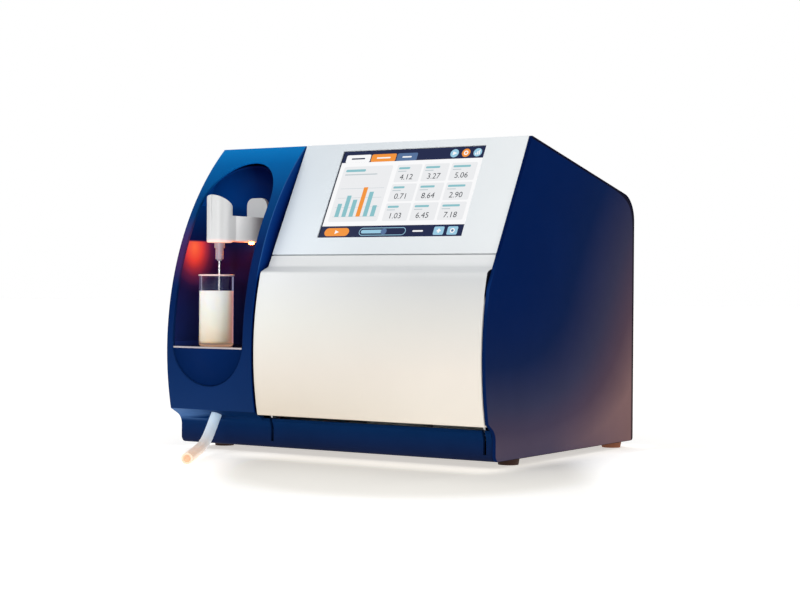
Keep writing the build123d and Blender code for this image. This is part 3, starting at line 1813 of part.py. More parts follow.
pieces = {
    "base_tray": base_tray,
    "rubber_feet": rubber_feet,
    "side_panel_left": side_panel_left,
    "side_panel_right": side_panel_right,
    "top_cover": top_cover,
    "rear_panel": rear_panel,
    "case_screws": case_screws,
    "intake_column": intake_column,
    "sample_bay": sample_bay,
    "drip_tray": drip_tray,
    "shelf_plate": shelf_plate,
    "drain_hose": drain_hose,
    "pipette_head": pipette_head,
    "luer_connector": luer_connector,
    "pipette_needle": pipette_needle,
    "work_light": work_light,
    "lift_carriage": lift_carriage,
    "lift_frame": lift_frame,
    "guide_rods": guide_rods,
    "lift_motor": lift_motor,
    "lead_screw": lead_screw,
    "sample_beaker": sample_beaker,
    "milk_sample": milk_sample,
    "screen_panel": screen_panel,
    "touch_glass": touch_glass,
    "lcd_module": lcd_module,
    "door_panel": door_panel,
    "door_liner": door_liner,
    "hinge_arms": hinge_arms,
    "hinge_brackets": hinge_brackets,
    "hinge_pins": hinge_pins,
    "latch_body": latch_body,
    "latch_plunger": latch_plunger,
    "door_striker": door_striker,
    "bulkhead": bulkhead,
    "service_deck": service_deck,
    "reagent_bottles": reagent_bottles,
    "bottle_caps": bottle_caps,
    "pump_housing": pump_housing,
    "pump_tube": pump_tube,
    "pump_rotor": pump_rotor,
    "pump_rollers": pump_rollers,
    "pump_motor": pump_motor,
    "valve_block": valve_block,
    "solenoid_valves": solenoid_valves,
    "optics_bench": optics_bench,
    "interferometer": interferometer,
    "infrared_source": infrared_source,
    "cuvette_block": cuvette_block,
    "optics_detector": optics_detector,
    "homogenizer": homogenizer,
    "power_supply": power_supply,
    "main_board": main_board,
    "board_standoffs": board_standoffs,
    "fan_frame": fan_frame,
    "fan_rotor": fan_rotor,
    "fan_guard": fan_guard,
    "power_inlet": power_inlet,
    "power_rocker": power_rocker,
    "data_ports": data_ports,
}
for name, piece in pieces.items():
    piece.part.label = name
    export_step(piece.part, f"parts/{name}.step")
print(len(pieces), "nodes")
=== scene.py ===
import json
import math

import bmesh
import bpy
from mathutils import Matrix, Vector


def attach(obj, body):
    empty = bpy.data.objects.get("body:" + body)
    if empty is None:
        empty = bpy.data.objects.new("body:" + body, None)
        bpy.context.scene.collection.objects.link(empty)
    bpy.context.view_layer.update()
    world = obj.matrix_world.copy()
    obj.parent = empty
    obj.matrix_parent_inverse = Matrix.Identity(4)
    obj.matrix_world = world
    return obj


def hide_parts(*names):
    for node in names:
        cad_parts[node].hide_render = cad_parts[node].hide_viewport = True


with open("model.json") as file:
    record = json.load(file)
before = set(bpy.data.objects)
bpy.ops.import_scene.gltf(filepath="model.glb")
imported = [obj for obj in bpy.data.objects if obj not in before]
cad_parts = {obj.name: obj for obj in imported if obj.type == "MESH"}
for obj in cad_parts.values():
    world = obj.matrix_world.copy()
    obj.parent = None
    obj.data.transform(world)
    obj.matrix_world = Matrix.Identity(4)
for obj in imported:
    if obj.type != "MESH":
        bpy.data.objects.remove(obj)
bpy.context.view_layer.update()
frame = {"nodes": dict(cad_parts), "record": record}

scene = bpy.context.scene
MM = 0.001

# The camera, solved from the straight edges in the photograph
SENSOR, LENS = 36.0, 77.99
YAW, PITCH, ROLL = math.radians(32.461), math.radians(0.376), math.radians(0.392)
CAMERA_PLACE = (0.8914, -1.4109, 0.1534)


def make_camera():
    data = bpy.data.cameras.new("photo_camera")
    data.sensor_width = SENSOR
    data.lens = LENS
    data.clip_start = 0.05
    data.clip_end = 60.0
    camera = bpy.data.objects.new("photo_camera", data)
    scene.collection.objects.link(camera)
    level = math.cos(PITCH)
    forward = Vector((-math.sin(YAW) * level, math.cos(YAW) * level, -math.sin(PITCH)))
    right = Vector((math.cos(YAW), math.sin(YAW), 0))
    up = right.cross(forward)
    right, up = (
        math.cos(ROLL) * right + math.sin(ROLL) * up,
        -math.sin(ROLL) * right + math.cos(ROLL) * up,
    )
    rotation = Matrix((right, up, -forward)).transposed()
    camera.matrix_world = Matrix.Translation(CAMERA_PLACE) @ rotation.to_4x4()
    scene.camera = camera


make_camera()


def mesh_object(name, bm, material, body="housing", smooth_angle=35, recalculate=True):
    """Turn a bmesh into a piece that rides on a body."""
    data = bpy.data.meshes.new(name)
    if recalculate:
        bmesh.ops.recalc_face_normals(bm, faces=bm.faces)
    bm.to_mesh(data)
    bm.free()
    obj = bpy.data.objects.new(name, data)
    data.materials.append(material)
    smooth(data, smooth_angle)
    scene.collection.objects.link(obj)
    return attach(obj, body)


def mesh_of(obj):
    """The final mesh of a curve, a text or an object with modifiers."""
    bpy.context.view_layer.update()
    return bpy.data.meshes.new_from_object(
        obj.evaluated_get(bpy.context.evaluated_depsgraph_get())
    )


def digits(text, size, **settings):
    """Flat mesh of a short number in Blender's own typeface."""
    curve = bpy.data.curves.new("digits", "FONT")
    curve.body = text
    curve.size = size
    for key, value in settings.items():
        setattr(curve, key, value)
    obj = bpy.data.objects.new("digits", curve)
    scene.collection.objects.link(obj)
    mesh = mesh_of(obj)
    bpy.data.objects.remove(obj)
    return mesh


def smooth(data, angle):
    """Smooth shading that keeps edges sharper than the angle."""
    data.shade_smooth()
    bm = bmesh.new()
    bm.from_mesh(data)
    limit = math.radians(angle)
    for edge in bm.edges:
        if len(edge.link_faces) == 2:
            edge.smooth = edge.calc_face_angle(0) < limit
        else:
            edge.smooth = True
    bm.to_mesh(data)
    bm.free()


# The drain hose: the points of its route in the CAD source, in millimetres
HOSE_ROUTE = [
    (-124.0, -125.0, 49.0),
    (-124.0, -138.5, 26.5),
    (-113.5, -163.0, 10.0),
    (-92.5, -205.0, 5.05),
    (-68.5, -244.0, 5.05),
]
HOSE_OUTER, HOSE_INNER = 5.0 * MM, 3.4 * MM
HOSE_SIDES = 48


def hose_path():
    """Points along the smooth line of the route, read from its spline."""
    curve = bpy.data.curves.new("hose_route", "CURVE")
    curve.dimensions = "3D"
    curve.resolution_u = 24
    spline = curve.splines.new("NURBS")
    spline.points.add(len(HOSE_ROUTE) - 1)
    for point, place in zip(spline.points, HOSE_ROUTE):
        point.co = (*(Vector(place) * MM), 1)
    spline.order_u = 3
    spline.use_endpoint_u = True
    obj = bpy.data.objects.new("hose_route", curve)
    scene.collection.objects.link(obj)
    mesh = mesh_of(obj)
    points = [v.co.copy() for v in mesh.vertices]
    bpy.data.objects.remove(obj)
    bpy.data.meshes.remove(mesh)
    return points


def make_hose(material):
    """A tube with a wall and a bore along the route, its free end slightly rounded."""
    path = hose_path()
    sides = HOSE_SIDES
    bm = bmesh.new()
    rings_out, rings_in = [], []
    side = Vector((1, 0, 0))
    for i, place in enumerate(path):
        before = path[max(i - 1, 0)]
        after = path[min(i + 1, len(path) - 1)]
        along = (after - before).normalized()
        side = (side - along * side.dot(along)).normalized()
        other = along.cross(side)
        for rings, radius in ((rings_out, HOSE_OUTER), (rings_in, HOSE_INNER)):
            rings.append(
                [
                    bm.verts.new(place + radius * (math.cos(t) * side + math.sin(t) * other))
                    for t in (2 * math.pi * k / sides for k in range(sides))
                ]
            )
    for rings, turn in ((rings_out, 1), (rings_in, -1)):
        for a, b in zip(rings, rings[1:]):
            for k in range(sides):
                quad = [a[k], a[(k + 1) % sides], b[(k + 1) % sides], b[k]]
                bm.faces.new(quad[::turn])
    for index in (0, -1):
        for k in range(sides):
            bm.faces.new(
                [
                    rings_out[index][k],
                    rings_out[index][(k + 1) % sides],
                    rings_in[index][(k + 1) % sides],
                    rings_in[index][k],
                ]
            )
    rim = {v for ring in (rings_out[-1], rings_in[-1]) for v in ring}
    edges = [e for e in bm.edges if all(v in rim for v in e.verts) and e.calc_face_angle(0) > 1]
    bmesh.ops.bevel(bm, geom=edges, offset=0.45 * MM, segments=3, affect="EDGES", profile=0.6)
    obj = mesh_object("drain_hose_tube", bm, material, "housing", 50)
    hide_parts("drain_hose")


# Materials

def srgb(r, g, b):
    """Linear colour of an 8-bit screen colour."""
    def one(c):
        c /= 255
        return c / 12.92 if c <= 0.04045 else ((c + 0.055) / 1.055) ** 2.4
    return (one(r), one(g), one(b), 1.0)


class Material:
    """A node material that is filled in step by step."""

    def __init__(self, name, roughness=0.4, **values):
        self.material = bpy.data.materials.new(name)
        self.material.use_nodes = True
        self.tree = self.material.node_tree
        self.shader = self.tree.nodes["Principled BSDF"]
        self.shader.inputs["Roughness"].default_value = roughness
        for key, value in values.items():
            self.shader.inputs[key.replace("_", " ")].default_value = value
        self.coords = self.node("ShaderNodeTexCoord")

    def node(self, kind, **values):
        node = self.tree.nodes.new(kind)
        for key, value in values.items():
            setattr(node, key, value)
        return node

    def join(self, a, b):
        self.tree.links.new(a, b)

    def mapped(self, scale=(1, 1, 1)):
        mapping = self.node("ShaderNodeMapping")
        mapping.inputs["Scale"].default_value = scale
        self.join(self.coords.outputs["Object"], mapping.inputs["Vector"])
        return mapping.outputs["Vector"]

    def noise(self, scale, detail=3.0, rough=0.55, stretch=(1, 1, 1)):
        node = self.node("ShaderNodeTexNoise")
        node.inputs["Scale"].default_value = scale
        node.inputs["Detail"].default_value = detail
        node.inputs["Roughness"].default_value = rough
        self.join(self.mapped(stretch), node.inputs["Vector"])
        return node.outputs["Fac"]

    def axis(self, name):
        split = self.node("ShaderNodeSeparateXYZ")
        self.join(self.coords.outputs["Object"], split.inputs["Vector"])
        return split.outputs[name]

    def facing(self, name):
        """How far the surface faces along one axis."""
        split = self.node("ShaderNodeSeparateXYZ")
        self.join(self.node("ShaderNodeNewGeometry").outputs["Normal"], split.inputs["Vector"])
        return split.outputs[name]

    def distance(self, place, scale=(1, 1, 1)):
        """Distance from a place, in metres, with the axes weighted by scale."""
        node = self.node("ShaderNodeVectorMath", operation="DISTANCE")
        self.join(self.mapped(scale), node.inputs[0])
        node.inputs[1].default_value = tuple(a * b for a, b in zip(place, scale))
        return node.outputs["Value"]

    def remap(self, value, low, high, to_low=0.0, to_high=1.0):
        node = self.node("ShaderNodeMapRange", interpolation_type="SMOOTHSTEP")
        node.inputs["From Min"].default_value = low
        node.inputs["From Max"].default_value = high
        node.inputs["To Min"].default_value = to_low
        node.inputs["To Max"].default_value = to_high
        self.join(value, node.inputs["Value"])
        return node.outputs["Result"]

    def linear(self, value, low, high, to_low=0.0, to_high=1.0):
        out = self.remap(value, low, high, to_low, to_high)
        out.node.interpolation_type = "LINEAR"
        return out

    def ramp(self, value, stops):
        node = self.node("ShaderNodeValToRGB")
        ramp = node.color_ramp
        ramp.elements[0].position = stops[0][0]
        ramp.elements[0].color = stops[0][1]
        ramp.elements[1].position = stops[-1][0]
        ramp.elements[1].color = stops[-1][1]
        for place, colour in stops[1:-1]:
            ramp.elements.new(place).color = colour
        self.join(value, node.inputs["Fac"])
        return node.outputs["Color"]

    def math(self, kind, a, b=0.0):
        node = self.node("ShaderNodeMath", operation=kind)
        for socket, value in zip(node.inputs, (a, b)):
            if isinstance(value, (int, float)):
                socket.default_value = value
            else:
                self.join(value, socket)
        return node.outputs["Value"]

    def times(self, a, b):
        return self.math("MULTIPLY", a, b)

    def plus(self, a, b):
        return self.math("ADD", a, b)

    def minus(self, a, b):
        return self.math("SUBTRACT", a, b)

    def absolute(self, value):
        return self.math("ABSOLUTE", value)

    def clamp(self, value):
        """Keep a value between 0 and 1."""
        node = self.node("ShaderNodeClamp")
        self.join(value, node.inputs["Value"])
        return node.outputs["Result"]

    def grey(self, value):
        """A colour with one value in all three channels."""
        node = self.node("ShaderNodeCombineColor")
        for socket in node.inputs:
            self.join(value, socket)
        return node.outputs["Color"]

    def mix(self, fac, a, b, blend="MIX"):
        node = self.node("ShaderNodeMix", data_type="RGBA", blend_type=blend)
        for socket, value in ((node.inputs[0], fac), (node.inputs[6], a), (node.inputs[7], b)):
            if isinstance(value, (int, float, tuple)):
                socket.default_value = value
            else:
                self.join(value, socket)
        return node.outputs[2]

    def colour(self, value):
        if isinstance(value, tuple):
            self.shader.inputs["Base Color"].default_value = value
        else:
            self.join(value, self.shader.inputs["Base Color"])

    def vary(self, base, amount, scale):
        """Base colour with soft uneven shading, as a real surface has."""
        cloud = self.remap(self.noise(scale, 4), 0.3, 0.7, 1 - amount, 1 + amount)
        return self.mix(1.0, base, self.grey(cloud), "MULTIPLY")

    def rough(self, low, high, scale=30.0, stretch=(1, 1, 1)):
        value = self.remap(self.noise(scale, 5, 0.6, stretch), 0.3, 0.7, low, high)
        self.join(value, self.shader.inputs["Roughness"])

    def bump(self, height, strength=0.2, distance=0.0002):
        node = self.node("ShaderNodeBump")
        node.inputs["Strength"].default_value = strength
        node.inputs["Distance"].default_value = distance
        self.join(height, node.inputs["Height"])
        self.join(node.outputs["Normal"], self.shader.inputs["Normal"])

    def emit(self, colour, strength):
        self.shader.inputs["Emission Strength"].default_value = strength
        if isinstance(colour, tuple):
            self.shader.inputs["Emission Color"].default_value = colour
        else:
            self.join(colour, self.shader.inputs["Emission Color"])


BLACK = srgb(0, 0, 0)

# Lines and places that the finishes follow, in metres
TOP_SLOPE, TOP_LINE = 0.218, 0.27485  # the side's top edge lies where Z + slope * Y is this
BACK_EDGE = 0.149
COLUMN_CENTRE, COLUMN_RADIUS = (0, 0.113, 0.095), 0.2622  # circle of the column's front
LAMP_ON_WALL = (-0.165, -0.117, 0.192)
LAMP_ON_EDGE = (-0.166, -0.128, 0.188)


def navy_paint():
    """Navy lacquer with a painted warm reflection towards the low back of the side."""
    m = Material("navy_paint", 0.4, IOR=1.04, Specular_IOR_Level=0.4)
    # painted reflection: a warm sheen that grows towards the back and the bottom, mostly on the
    # side
    rear = m.clamp(m.linear(m.axis("Y"), -0.12, 0.15))
    low = m.clamp(m.linear(m.axis("Z"), 0.27, 0.0))
    rear_2 = m.times(rear, rear)
    rear_3 = m.times(rear_2, rear)
    low_6 = m.math("POWER", low, 6.0)
    amount = m.times(rear_3, 0.2)
    amount = m.plus(amount, m.times(m.times(rear_2, low), 0.85))
    amount = m.plus(amount, m.times(low_6, m.linear(rear, 0.0, 1.0, 1.25, 0.72)))
    amount = m.times(amount, m.remap(m.facing("X"), -0.1, 0.6, 0.22, 1.0))
    base = m.ramp(
        amount,
        [
            (0.0, srgb(1, 28, 80)),
            (0.12, srgb(10, 31, 74)),
            (0.35, srgb(54, 54, 80)),
            (0.6, srgb(84, 66, 80)),
            (1.0, srgb(132, 102, 102)),
        ],
    )
    # painted reflection: a cool blue sheen low at the front
    cool = m.times(low_6, m.linear(rear, 0.35, 1.0, 0.85, 0.0))
    base = m.mix(m.clamp(cool), base, srgb(56, 66, 100))
    # painted shade: a dark rim along the top and back edges of the side
    to_top = m.minus(TOP_LINE, m.plus(m.times(m.axis("Y"), TOP_SLOPE), m.axis("Z")))
    to_back = m.times(m.minus(BACK_EDGE, m.axis("Y")), 0.62)
    nearest = m.math("SMOOTH_MIN", to_top, to_back)
    nearest.node.inputs[2].default_value = 0.036
    sideways = m.absolute(m.facing("X"))
    rim = m.times(m.remap(nearest, 0.0032, 0.0022), m.remap(sideways, 0.8, 0.9))
    base = m.mix(m.times(rim, 0.85), base, srgb(14, 10, 24))
    # painted highlight on the rounded front edge of the right side, with painted shade where its
    # edges face back or up
    rounded = m.remap(sideways, 0.985, 0.9)
    front = m.mix(m.remap(m.axis("Z"), 0.15, 0.19), srgb(14, 46, 104), srgb(4, 24, 72))
    front = m.mix(m.remap(m.axis("Z"), 0.13, 0.15), srgb(8, 34, 84), front)
    edge = m.mix(m.remap(m.facing("Y"), -0.15, -0.3), srgb(22, 16, 28), front)
    base = m.mix(m.times(rounded, m.remap(m.axis("X"), 0.165, 0.17)), base, edge)
    m.colour(m.vary(base, 0.04, 14))
    m.rough(0.36, 0.46, 60)
    m.bump(m.noise(1400, 2), 0.1, 0.00005)
    return m.material


def base_paint():
    """Navy lacquer of the base with painted shading: a little lighter at mid height."""
    m = Material("base_paint", 0.38, IOR=1.06, Specular_IOR_Level=0.4)
    # painted shading: greyer at the bottom, lighter at mid height, darker at the top
    height = m.linear(m.axis("Z"), 0.006, 0.045)
    base = m.ramp(
        height,
        [
            (0.0, srgb(24, 32, 62)),
            (0.3, srgb(16, 38, 80)),
            (0.6, srgb(8, 44, 92)),
            (1.0, srgb(4, 30, 70)),
        ],
    )
    # the lit hollow under the column's left end
    hollow = m.times(m.remap(m.facing("Z"), -0.25, -0.7), m.remap(m.axis("X"), -0.105, -0.165))
    hollow = m.times(hollow, m.remap(m.axis("Z"), 0.02, 0.026))
    base = m.mix(hollow, base, srgb(72, 108, 160))
    m.colour(m.vary(base, 0.06, 20))
    m.rough(0.34, 0.42, 60)
    m.bump(m.noise(1200, 2), 0.1, 0.00005)
    return m.material


def column_plastic():
    """Blue plastic with painted light and shade: lighter upwards, with a painted shaded facet and
    highlight line along its right edge.
    """
    m = Material("column_plastic", 0.34, IOR=1.06, Specular_IOR_Level=0.4)
    # painted light: the front lighter upwards
    height = m.linear(m.axis("Z"), 0.03, 0.29)
    base = m.ramp(
        height,
        [
            (0.0, srgb(22, 50, 98)),
            (0.12, srgb(16, 44, 92)),
            (0.42, srgb(6, 30, 76)),
            (0.62, srgb(6, 34, 84)),
            (0.8, srgb(8, 62, 118)),
            (0.93, srgb(5, 93, 159)),
            (1.0, srgb(4, 118, 190)),
        ],
    )
    # painted shade on the facet along the right edge, with a painted highlight line where it meets
    # the front
    depth = m.minus(COLUMN_RADIUS, m.distance(COLUMN_CENTRE, (0, 1, 1)))
    reach = m.remap(m.axis("Z"), 0.158, 0.182, 0.0028, 0.02)
    facet = m.ramp(
        m.math("DIVIDE", depth, reach),
        [
            (0.0, srgb(52, 104, 168)),
            (0.1, srgb(8, 54, 122)),
            (0.45, srgb(2, 38, 104)),
            (0.72, srgb(2, 18, 70)),
            (1.0, srgb(4, 6, 34)),
        ],
    )
    right_half = m.remap(m.axis("X"), -0.084, -0.08)
    on_facet = m.times(m.remap(m.facing("X"), 0.3, 0.7), right_half)
    # light under the top of the opening, and the lamp's light on its left edge
    under = m.times(m.remap(m.facing("Z"), -0.3, -0.6), m.remap(m.axis("Z"), 0.2, 0.21))
    lamp = m.remap(m.distance(LAMP_ON_EDGE, (1, 1, 0.8)), 0.032, 0.006)
    lamp = m.times(lamp, m.remap(m.facing("X"), -0.7, -0.4))
    m.emit(m.mix(under, m.mix(lamp, BLACK, srgb(74, 12, 18)), srgb(2, 40, 100)), 0.8)
    m.colour(m.vary(m.mix(on_facet, base, facet), 0.03, 12))
    m.rough(0.3, 0.38, 50)
    m.bump(m.noise(900, 2), 0.05, 0.00005)
    return m.material


def bay_plastic():
    """Dark lining of the niche with painted light and shade, and the lamp's glow painted on its
    left wall.
    """
    m = Material("bay_plastic", 0.34, IOR=1.07, Specular_IOR_Level=0.4)
    # painted light and shade: the lining's tones by height, lighter on the left and darker to the
    # right
    height = m.linear(m.axis("Z"), 0.06, 0.27)
    side = m.linear(m.axis("X"), -0.165, -0.083)
    left = m.ramp(
        height,
        [
            (0.0, srgb(24, 46, 104)),
            (0.35, srgb(24, 34, 88)),
            (0.55, srgb(34, 14, 56)),
            (0.66, srgb(8, 24, 84)),
            (0.82, srgb(2, 56, 124)),
            (1.0, srgb(2, 46, 110)),
        ],
    )
    middle = m.ramp(
        height,
        [
            (0.0, srgb(6, 12, 36)),
            (0.4, srgb(14, 10, 40)),
            (0.6, srgb(18, 12, 44)),
            (0.68, srgb(6, 40, 96)),
            (0.85, srgb(4, 34, 90)),
            (1.0, srgb(1, 2, 40)),
        ],
    )
    right = m.ramp(
        height,
        [
            (0.0, srgb(4, 10, 30)),
            (0.45, srgb(8, 10, 32)),
            (0.65, srgb(3, 12, 56)),
            (0.85, srgb(1, 2, 40)),
            (1.0, srgb(1, 2, 40)),
        ],
    )
    base = m.mix(m.linear(side, 0.1, 0.5), left, middle)
    base = m.mix(m.linear(side, 0.5, 0.85), base, right)
    # painted light: the lamp's glow on the left wall
    glow = m.ramp(
        m.linear(m.distance(LAMP_ON_WALL, (1, 1.1, 0.95)), 0.0, 0.042),
        [
            (0.0, srgb(255, 104, 32)),
            (0.3, srgb(232, 60, 26)),
            (0.48, srgb(158, 38, 34)),
            (0.65, srgb(86, 22, 36)),
            (0.85, srgb(26, 6, 22)),
            (1.0, BLACK),
        ],
    )
    # painted light: the glow only below the arm, and a faint blue light at the top
    below = m.remap(m.axis("Z"), 0.1985, 0.1965)
    roof = m.remap(m.axis("Z"), 0.235, 0.268)
    m.emit(m.mix(below, m.mix(roof, BLACK, srgb(1, 5, 24)), glow), 1.0)
    m.colour(m.vary(base, 0.06, 18))
    m.rough(0.28, 0.36, 40)
    m.bump(m.noise(700, 2), 0.05, 0.00005)
    return m.material


def moulded(
    name, colour, roughness, grain=900, amount=0.04, specular=0.4, strength=0.08, ior=1.5
):
    """Plain moulded plastic with a fine grain."""
    m = Material(name, roughness, Specular_IOR_Level=specular, IOR=ior)
    m.colour(m.vary(colour, amount, 12))
    m.rough(roughness - 0.05, roughness + 0.05, 45)
    m.bump(m.noise(grain, 2), strength, 0.00005)
    return m.material


def white_panel():
    """Cool white of the tilted frame, with painted light: brighter towards the right."""
    m = Material("white_panel", 0.38, Specular_IOR_Level=0.4)
    height = m.linear(m.axis("Z"), 0.18, 0.29)
    across = m.linear(m.axis("X"), -0.07, 0.17)
    edge, middle = srgb(214, 222, 229), srgb(214, 223, 230)
    base = m.ramp(height, [(0.0, edge), (0.5, middle), (1.0, edge)])
    m.colour(m.vary(m.mix(across, base, srgb(240, 244, 246)), 0.02, 10))
    m.rough(0.34, 0.42, 60)
    m.bump(m.noise(1500, 2), 0.08, 0.00004)
    return m.material


def door_plastic():
    """White of the door with painted light: warmer downwards and brighter towards the right."""
    m = Material("door_plastic", 0.45, Specular_IOR_Level=0.35)
    # painted light: warmer downwards
    height = m.linear(m.axis("Z"), 0.036, 0.184)
    base = m.ramp(
        height,
        [
            (0.0, srgb(230, 219, 202)),
            (0.3, srgb(226, 219, 209)),
            (0.6, srgb(221, 221, 216)),
            (0.85, srgb(215, 217, 218)),
            (1.0, srgb(214, 216, 217)),
        ],
    )
    lit = m.ramp(
        height,
        [
            (0.0, srgb(254, 246, 234)),
            (0.3, srgb(246, 238, 228)),
            (0.6, srgb(228, 226, 221)),
            (0.85, srgb(212, 214, 215)),
            (0.95, srgb(236, 238, 239)),
            (1.0, srgb(236, 238, 239)),
        ],
    )
    # painted light: brighter towards the right
    base = m.mix(m.linear(m.axis("X"), -0.06, 0.12), base, lit)
    # painted shade: the door's end face dark at the end of the step, beside the right panel
    end_face_shade = m.times(m.remap(m.facing("X"), 0.4, 0.7), m.remap(m.axis("Z"), 0.1704, 0.1698))
    end_face_shade = m.times(end_face_shade, m.remap(m.axis("Z"), 0.141, 0.149))
    base = m.mix(end_face_shade, base, srgb(1, 2, 14))
    m.colour(m.vary(base, 0.015, 8))
    m.rough(0.4, 0.48, 40)
    m.bump(m.noise(1100, 2), 0.07, 0.00005)
    return m.material


def metal(name, colour, roughness, stretch=(1, 1, 1)):
    """Bare metal, brushed where its noise is stretched."""
    m = Material(name, roughness, Metallic=1.0)
    m.colour(m.vary(colour, 0.1, 40))
    m.rough(roughness - 0.08, roughness + 0.1, 260, stretch)
    m.bump(m.noise(900, 3, 0.6, stretch), 0.15, 0.00004)
    return m.material


def shelf_steel():
    """Dark brushed plate with a painted highlight on its front edge."""
    m = Material("shelf_steel", 0.24, Metallic=1.0)
    stretch = (1, 30, 30)
    # painted highlight: the front edge lighter and glowing
    edge = m.remap(m.facing("Y"), -0.8, -0.95)
    m.colour(m.vary(m.mix(edge, srgb(66, 63, 68), srgb(170, 164, 166)), 0.1, 40))
    m.emit(m.mix(edge, BLACK, srgb(120, 112, 116)), 0.6)
    m.rough(0.16, 0.34, 260, stretch)
    m.bump(m.noise(900, 3, 0.6, stretch), 0.15, 0.00004)
    return m.material


def clear_glass():
    """Clear glass with painted light in its lip, foot and outer walls."""
    m = Material(
        "clear_glass", 0.03, Transmission_Weight=1.0, IOR=1.3, Specular_Tint=(0.4, 0.55, 1.0, 1)
    )
    # painted light: a pink lip that lets less light through, and an amber foot
    lip = m.remap(m.axis("Z"), 0.1638, 0.1645)
    foot = m.remap(m.axis("Z"), 0.1022, 0.1006)
    m.join(m.minus(1.0, m.times(lip, 0.6)), m.shader.inputs["Transmission Weight"])
    shade = m.mix(foot, m.mix(lip, (1, 1, 1, 1), srgb(255, 226, 224)), srgb(246, 206, 172))
    m.colour(m.vary(shade, 0.01, 20))
    # painted highlight: glowing streaks on the two walls that face along one level direction, below
    # the lip
    across = m.plus(m.times(m.facing("X"), 0.86), m.times(m.facing("Y"), 0.5))
    wall = m.remap(m.absolute(across), 0.955, 0.99)
    wall = m.times(wall, m.remap(m.axis("Z"), 0.1642, 0.1634))
    m.emit(m.mix(foot, m.mix(wall, BLACK, srgb(96, 96, 118)), srgb(112, 98, 84)), 0.8)
    m.bump(m.noise(60, 2), 0.02, 0.0001)
    return m.material


def head_plastic():
    """White moulding with painted light and shade: its arm's flank lighter and darker towards the
    back, a painted glow on its flat side, and the lamp's light painted in its lowest edge.
    """
    m = Material("head_plastic", 0.36, Specular_IOR_Level=0.35)
    arm = m.remap(m.axis("Y"), -0.1225, -0.1195)
    # painted light and shade: the arm's right flank lighter, and darker towards its far end
    flank = m.times(m.remap(m.facing("X"), 0.2, 0.95), arm)
    far = m.mix(m.linear(m.axis("Y"), -0.1, -0.078), srgb(252, 252, 252), srgb(172, 160, 160))
    m.colour(m.vary(m.mix(flank, srgb(196, 197, 198), far), 0.02, 20))
    # painted light: the lamp's glow in the lowest edge
    low_edge = m.ramp(
        m.linear(m.axis("Z"), 0.1952, 0.2),
        [
            (0.0, srgb(255, 196, 150)),
            (0.25, srgb(250, 120, 70)),
            (0.6, srgb(90, 40, 30)),
            (1.0, BLACK),
        ],
    )
    # painted light: a glow on the flat right side, a little weaker on the nose
    flat = m.times(m.remap(m.facing("X"), 0.7, 0.98), m.linear(m.axis("Y"), -0.085, -0.118))
    flat = m.times(flat, m.plus(m.times(arm, 0.2), 0.8))
    m.emit(m.mix(m.times(flat, 0.5), low_edge, srgb(190, 190, 190)), 0.8)
    m.rough(0.32, 0.4, 45)
    m.bump(m.noise(900, 2), 0.06, 0.00005)
    return m.material


def hub_plastic():
    """Milky clear plastic of the needle's hub."""
    m = Material(
        "clear_plastic",
        0.3,
        Transmission_Weight=0.35,
        IOR=1.4,
        Subsurface_Weight=0.6,
        Subsurface_Scale=0.003,
    )
    m.colour(m.vary(srgb(182, 166, 178), 0.02, 60))
    m.bump(m.noise(200, 2), 0.03, 0.0001)
    return m.material


def silicone():
    """Milky rubber of the hose, bluish near the case and warm at its free end, with a painted glow.
    """
    m = Material(
        "silicone", 0.36, Subsurface_Weight=0.5, Subsurface_Scale=0.006, Specular_IOR_Level=0.45
    )
    m.shader.inputs["Subsurface Radius"].default_value = (1.0, 0.85, 0.7)
    along = m.linear(m.axis("Y"), -0.24, -0.13)
    base = m.ramp(
        along,
        [
            (0.0, srgb(240, 210, 186)),
            (0.45, srgb(232, 214, 200)),
            (0.75, srgb(214, 222, 230)),
            (1.0, srgb(176, 204, 226)),
        ],
    )
    m.colour(m.vary(base, 0.03, 60))
    # painted light: the hose glows in its own colour
    m.emit(base, 0.26)
    m.rough(0.3, 0.42, 80)
    m.bump(m.noise(300, 2), 0.05, 0.0001)
    return m.material


def milk():
    """Milk with painted light: warm on the side that the lamp lights, and a painted glow."""
    m = Material("milk", 0.25, Subsurface_Weight=0.9, Subsurface_Scale=0.004)
    m.shader.inputs["Subsurface Radius"].default_value = (1.0, 0.8, 0.6)
    height = m.linear(m.axis("Z"), 0.1, 0.15)
    base = m.ramp(
        height, [(0.0, srgb(238, 224, 200)), (0.3, srgb(248, 240, 226)), (1.0, srgb(252, 250, 246))]
    )
    # painted light: warmer on the side towards the lamp
    warm = m.remap(m.facing("Y"), -0.3, 0.5)
    m.colour(m.vary(m.mix(warm, base, srgb(250, 200, 180)), 0.02, 80))
    # painted light: a glow that lifts the milk, weaker and warmer towards the bottom
    lift = m.ramp(
        height, [(0.0, srgb(70, 56, 40)), (0.4, srgb(104, 100, 94)), (1.0, srgb(128, 128, 128))]
    )
    m.emit(m.mix(warm, lift, srgb(158, 98, 86)), 0.85)
    m.bump(m.noise(200, 2), 0.03, 0.0001)
    return m.material


def rubber():
    m = Material("foot_rubber", 0.75, Specular_IOR_Level=0.3)
    colour = m.mix(m.linear(m.axis("Y"), -0.09, 0.13), srgb(62, 40, 34), srgb(156, 98, 72))
    m.colour(m.vary(colour, 0.15, 60))
    m.rough(0.65, 0.85, 120)
    m.bump(m.noise(800, 3), 0.3, 0.00008)
    return m.material


def glowing(name, colour, strength):
    m = Material(name, 0.2)
    m.colour(m.vary(colour, 0.05, 300))
    m.emit(colour, strength)
    return m.material


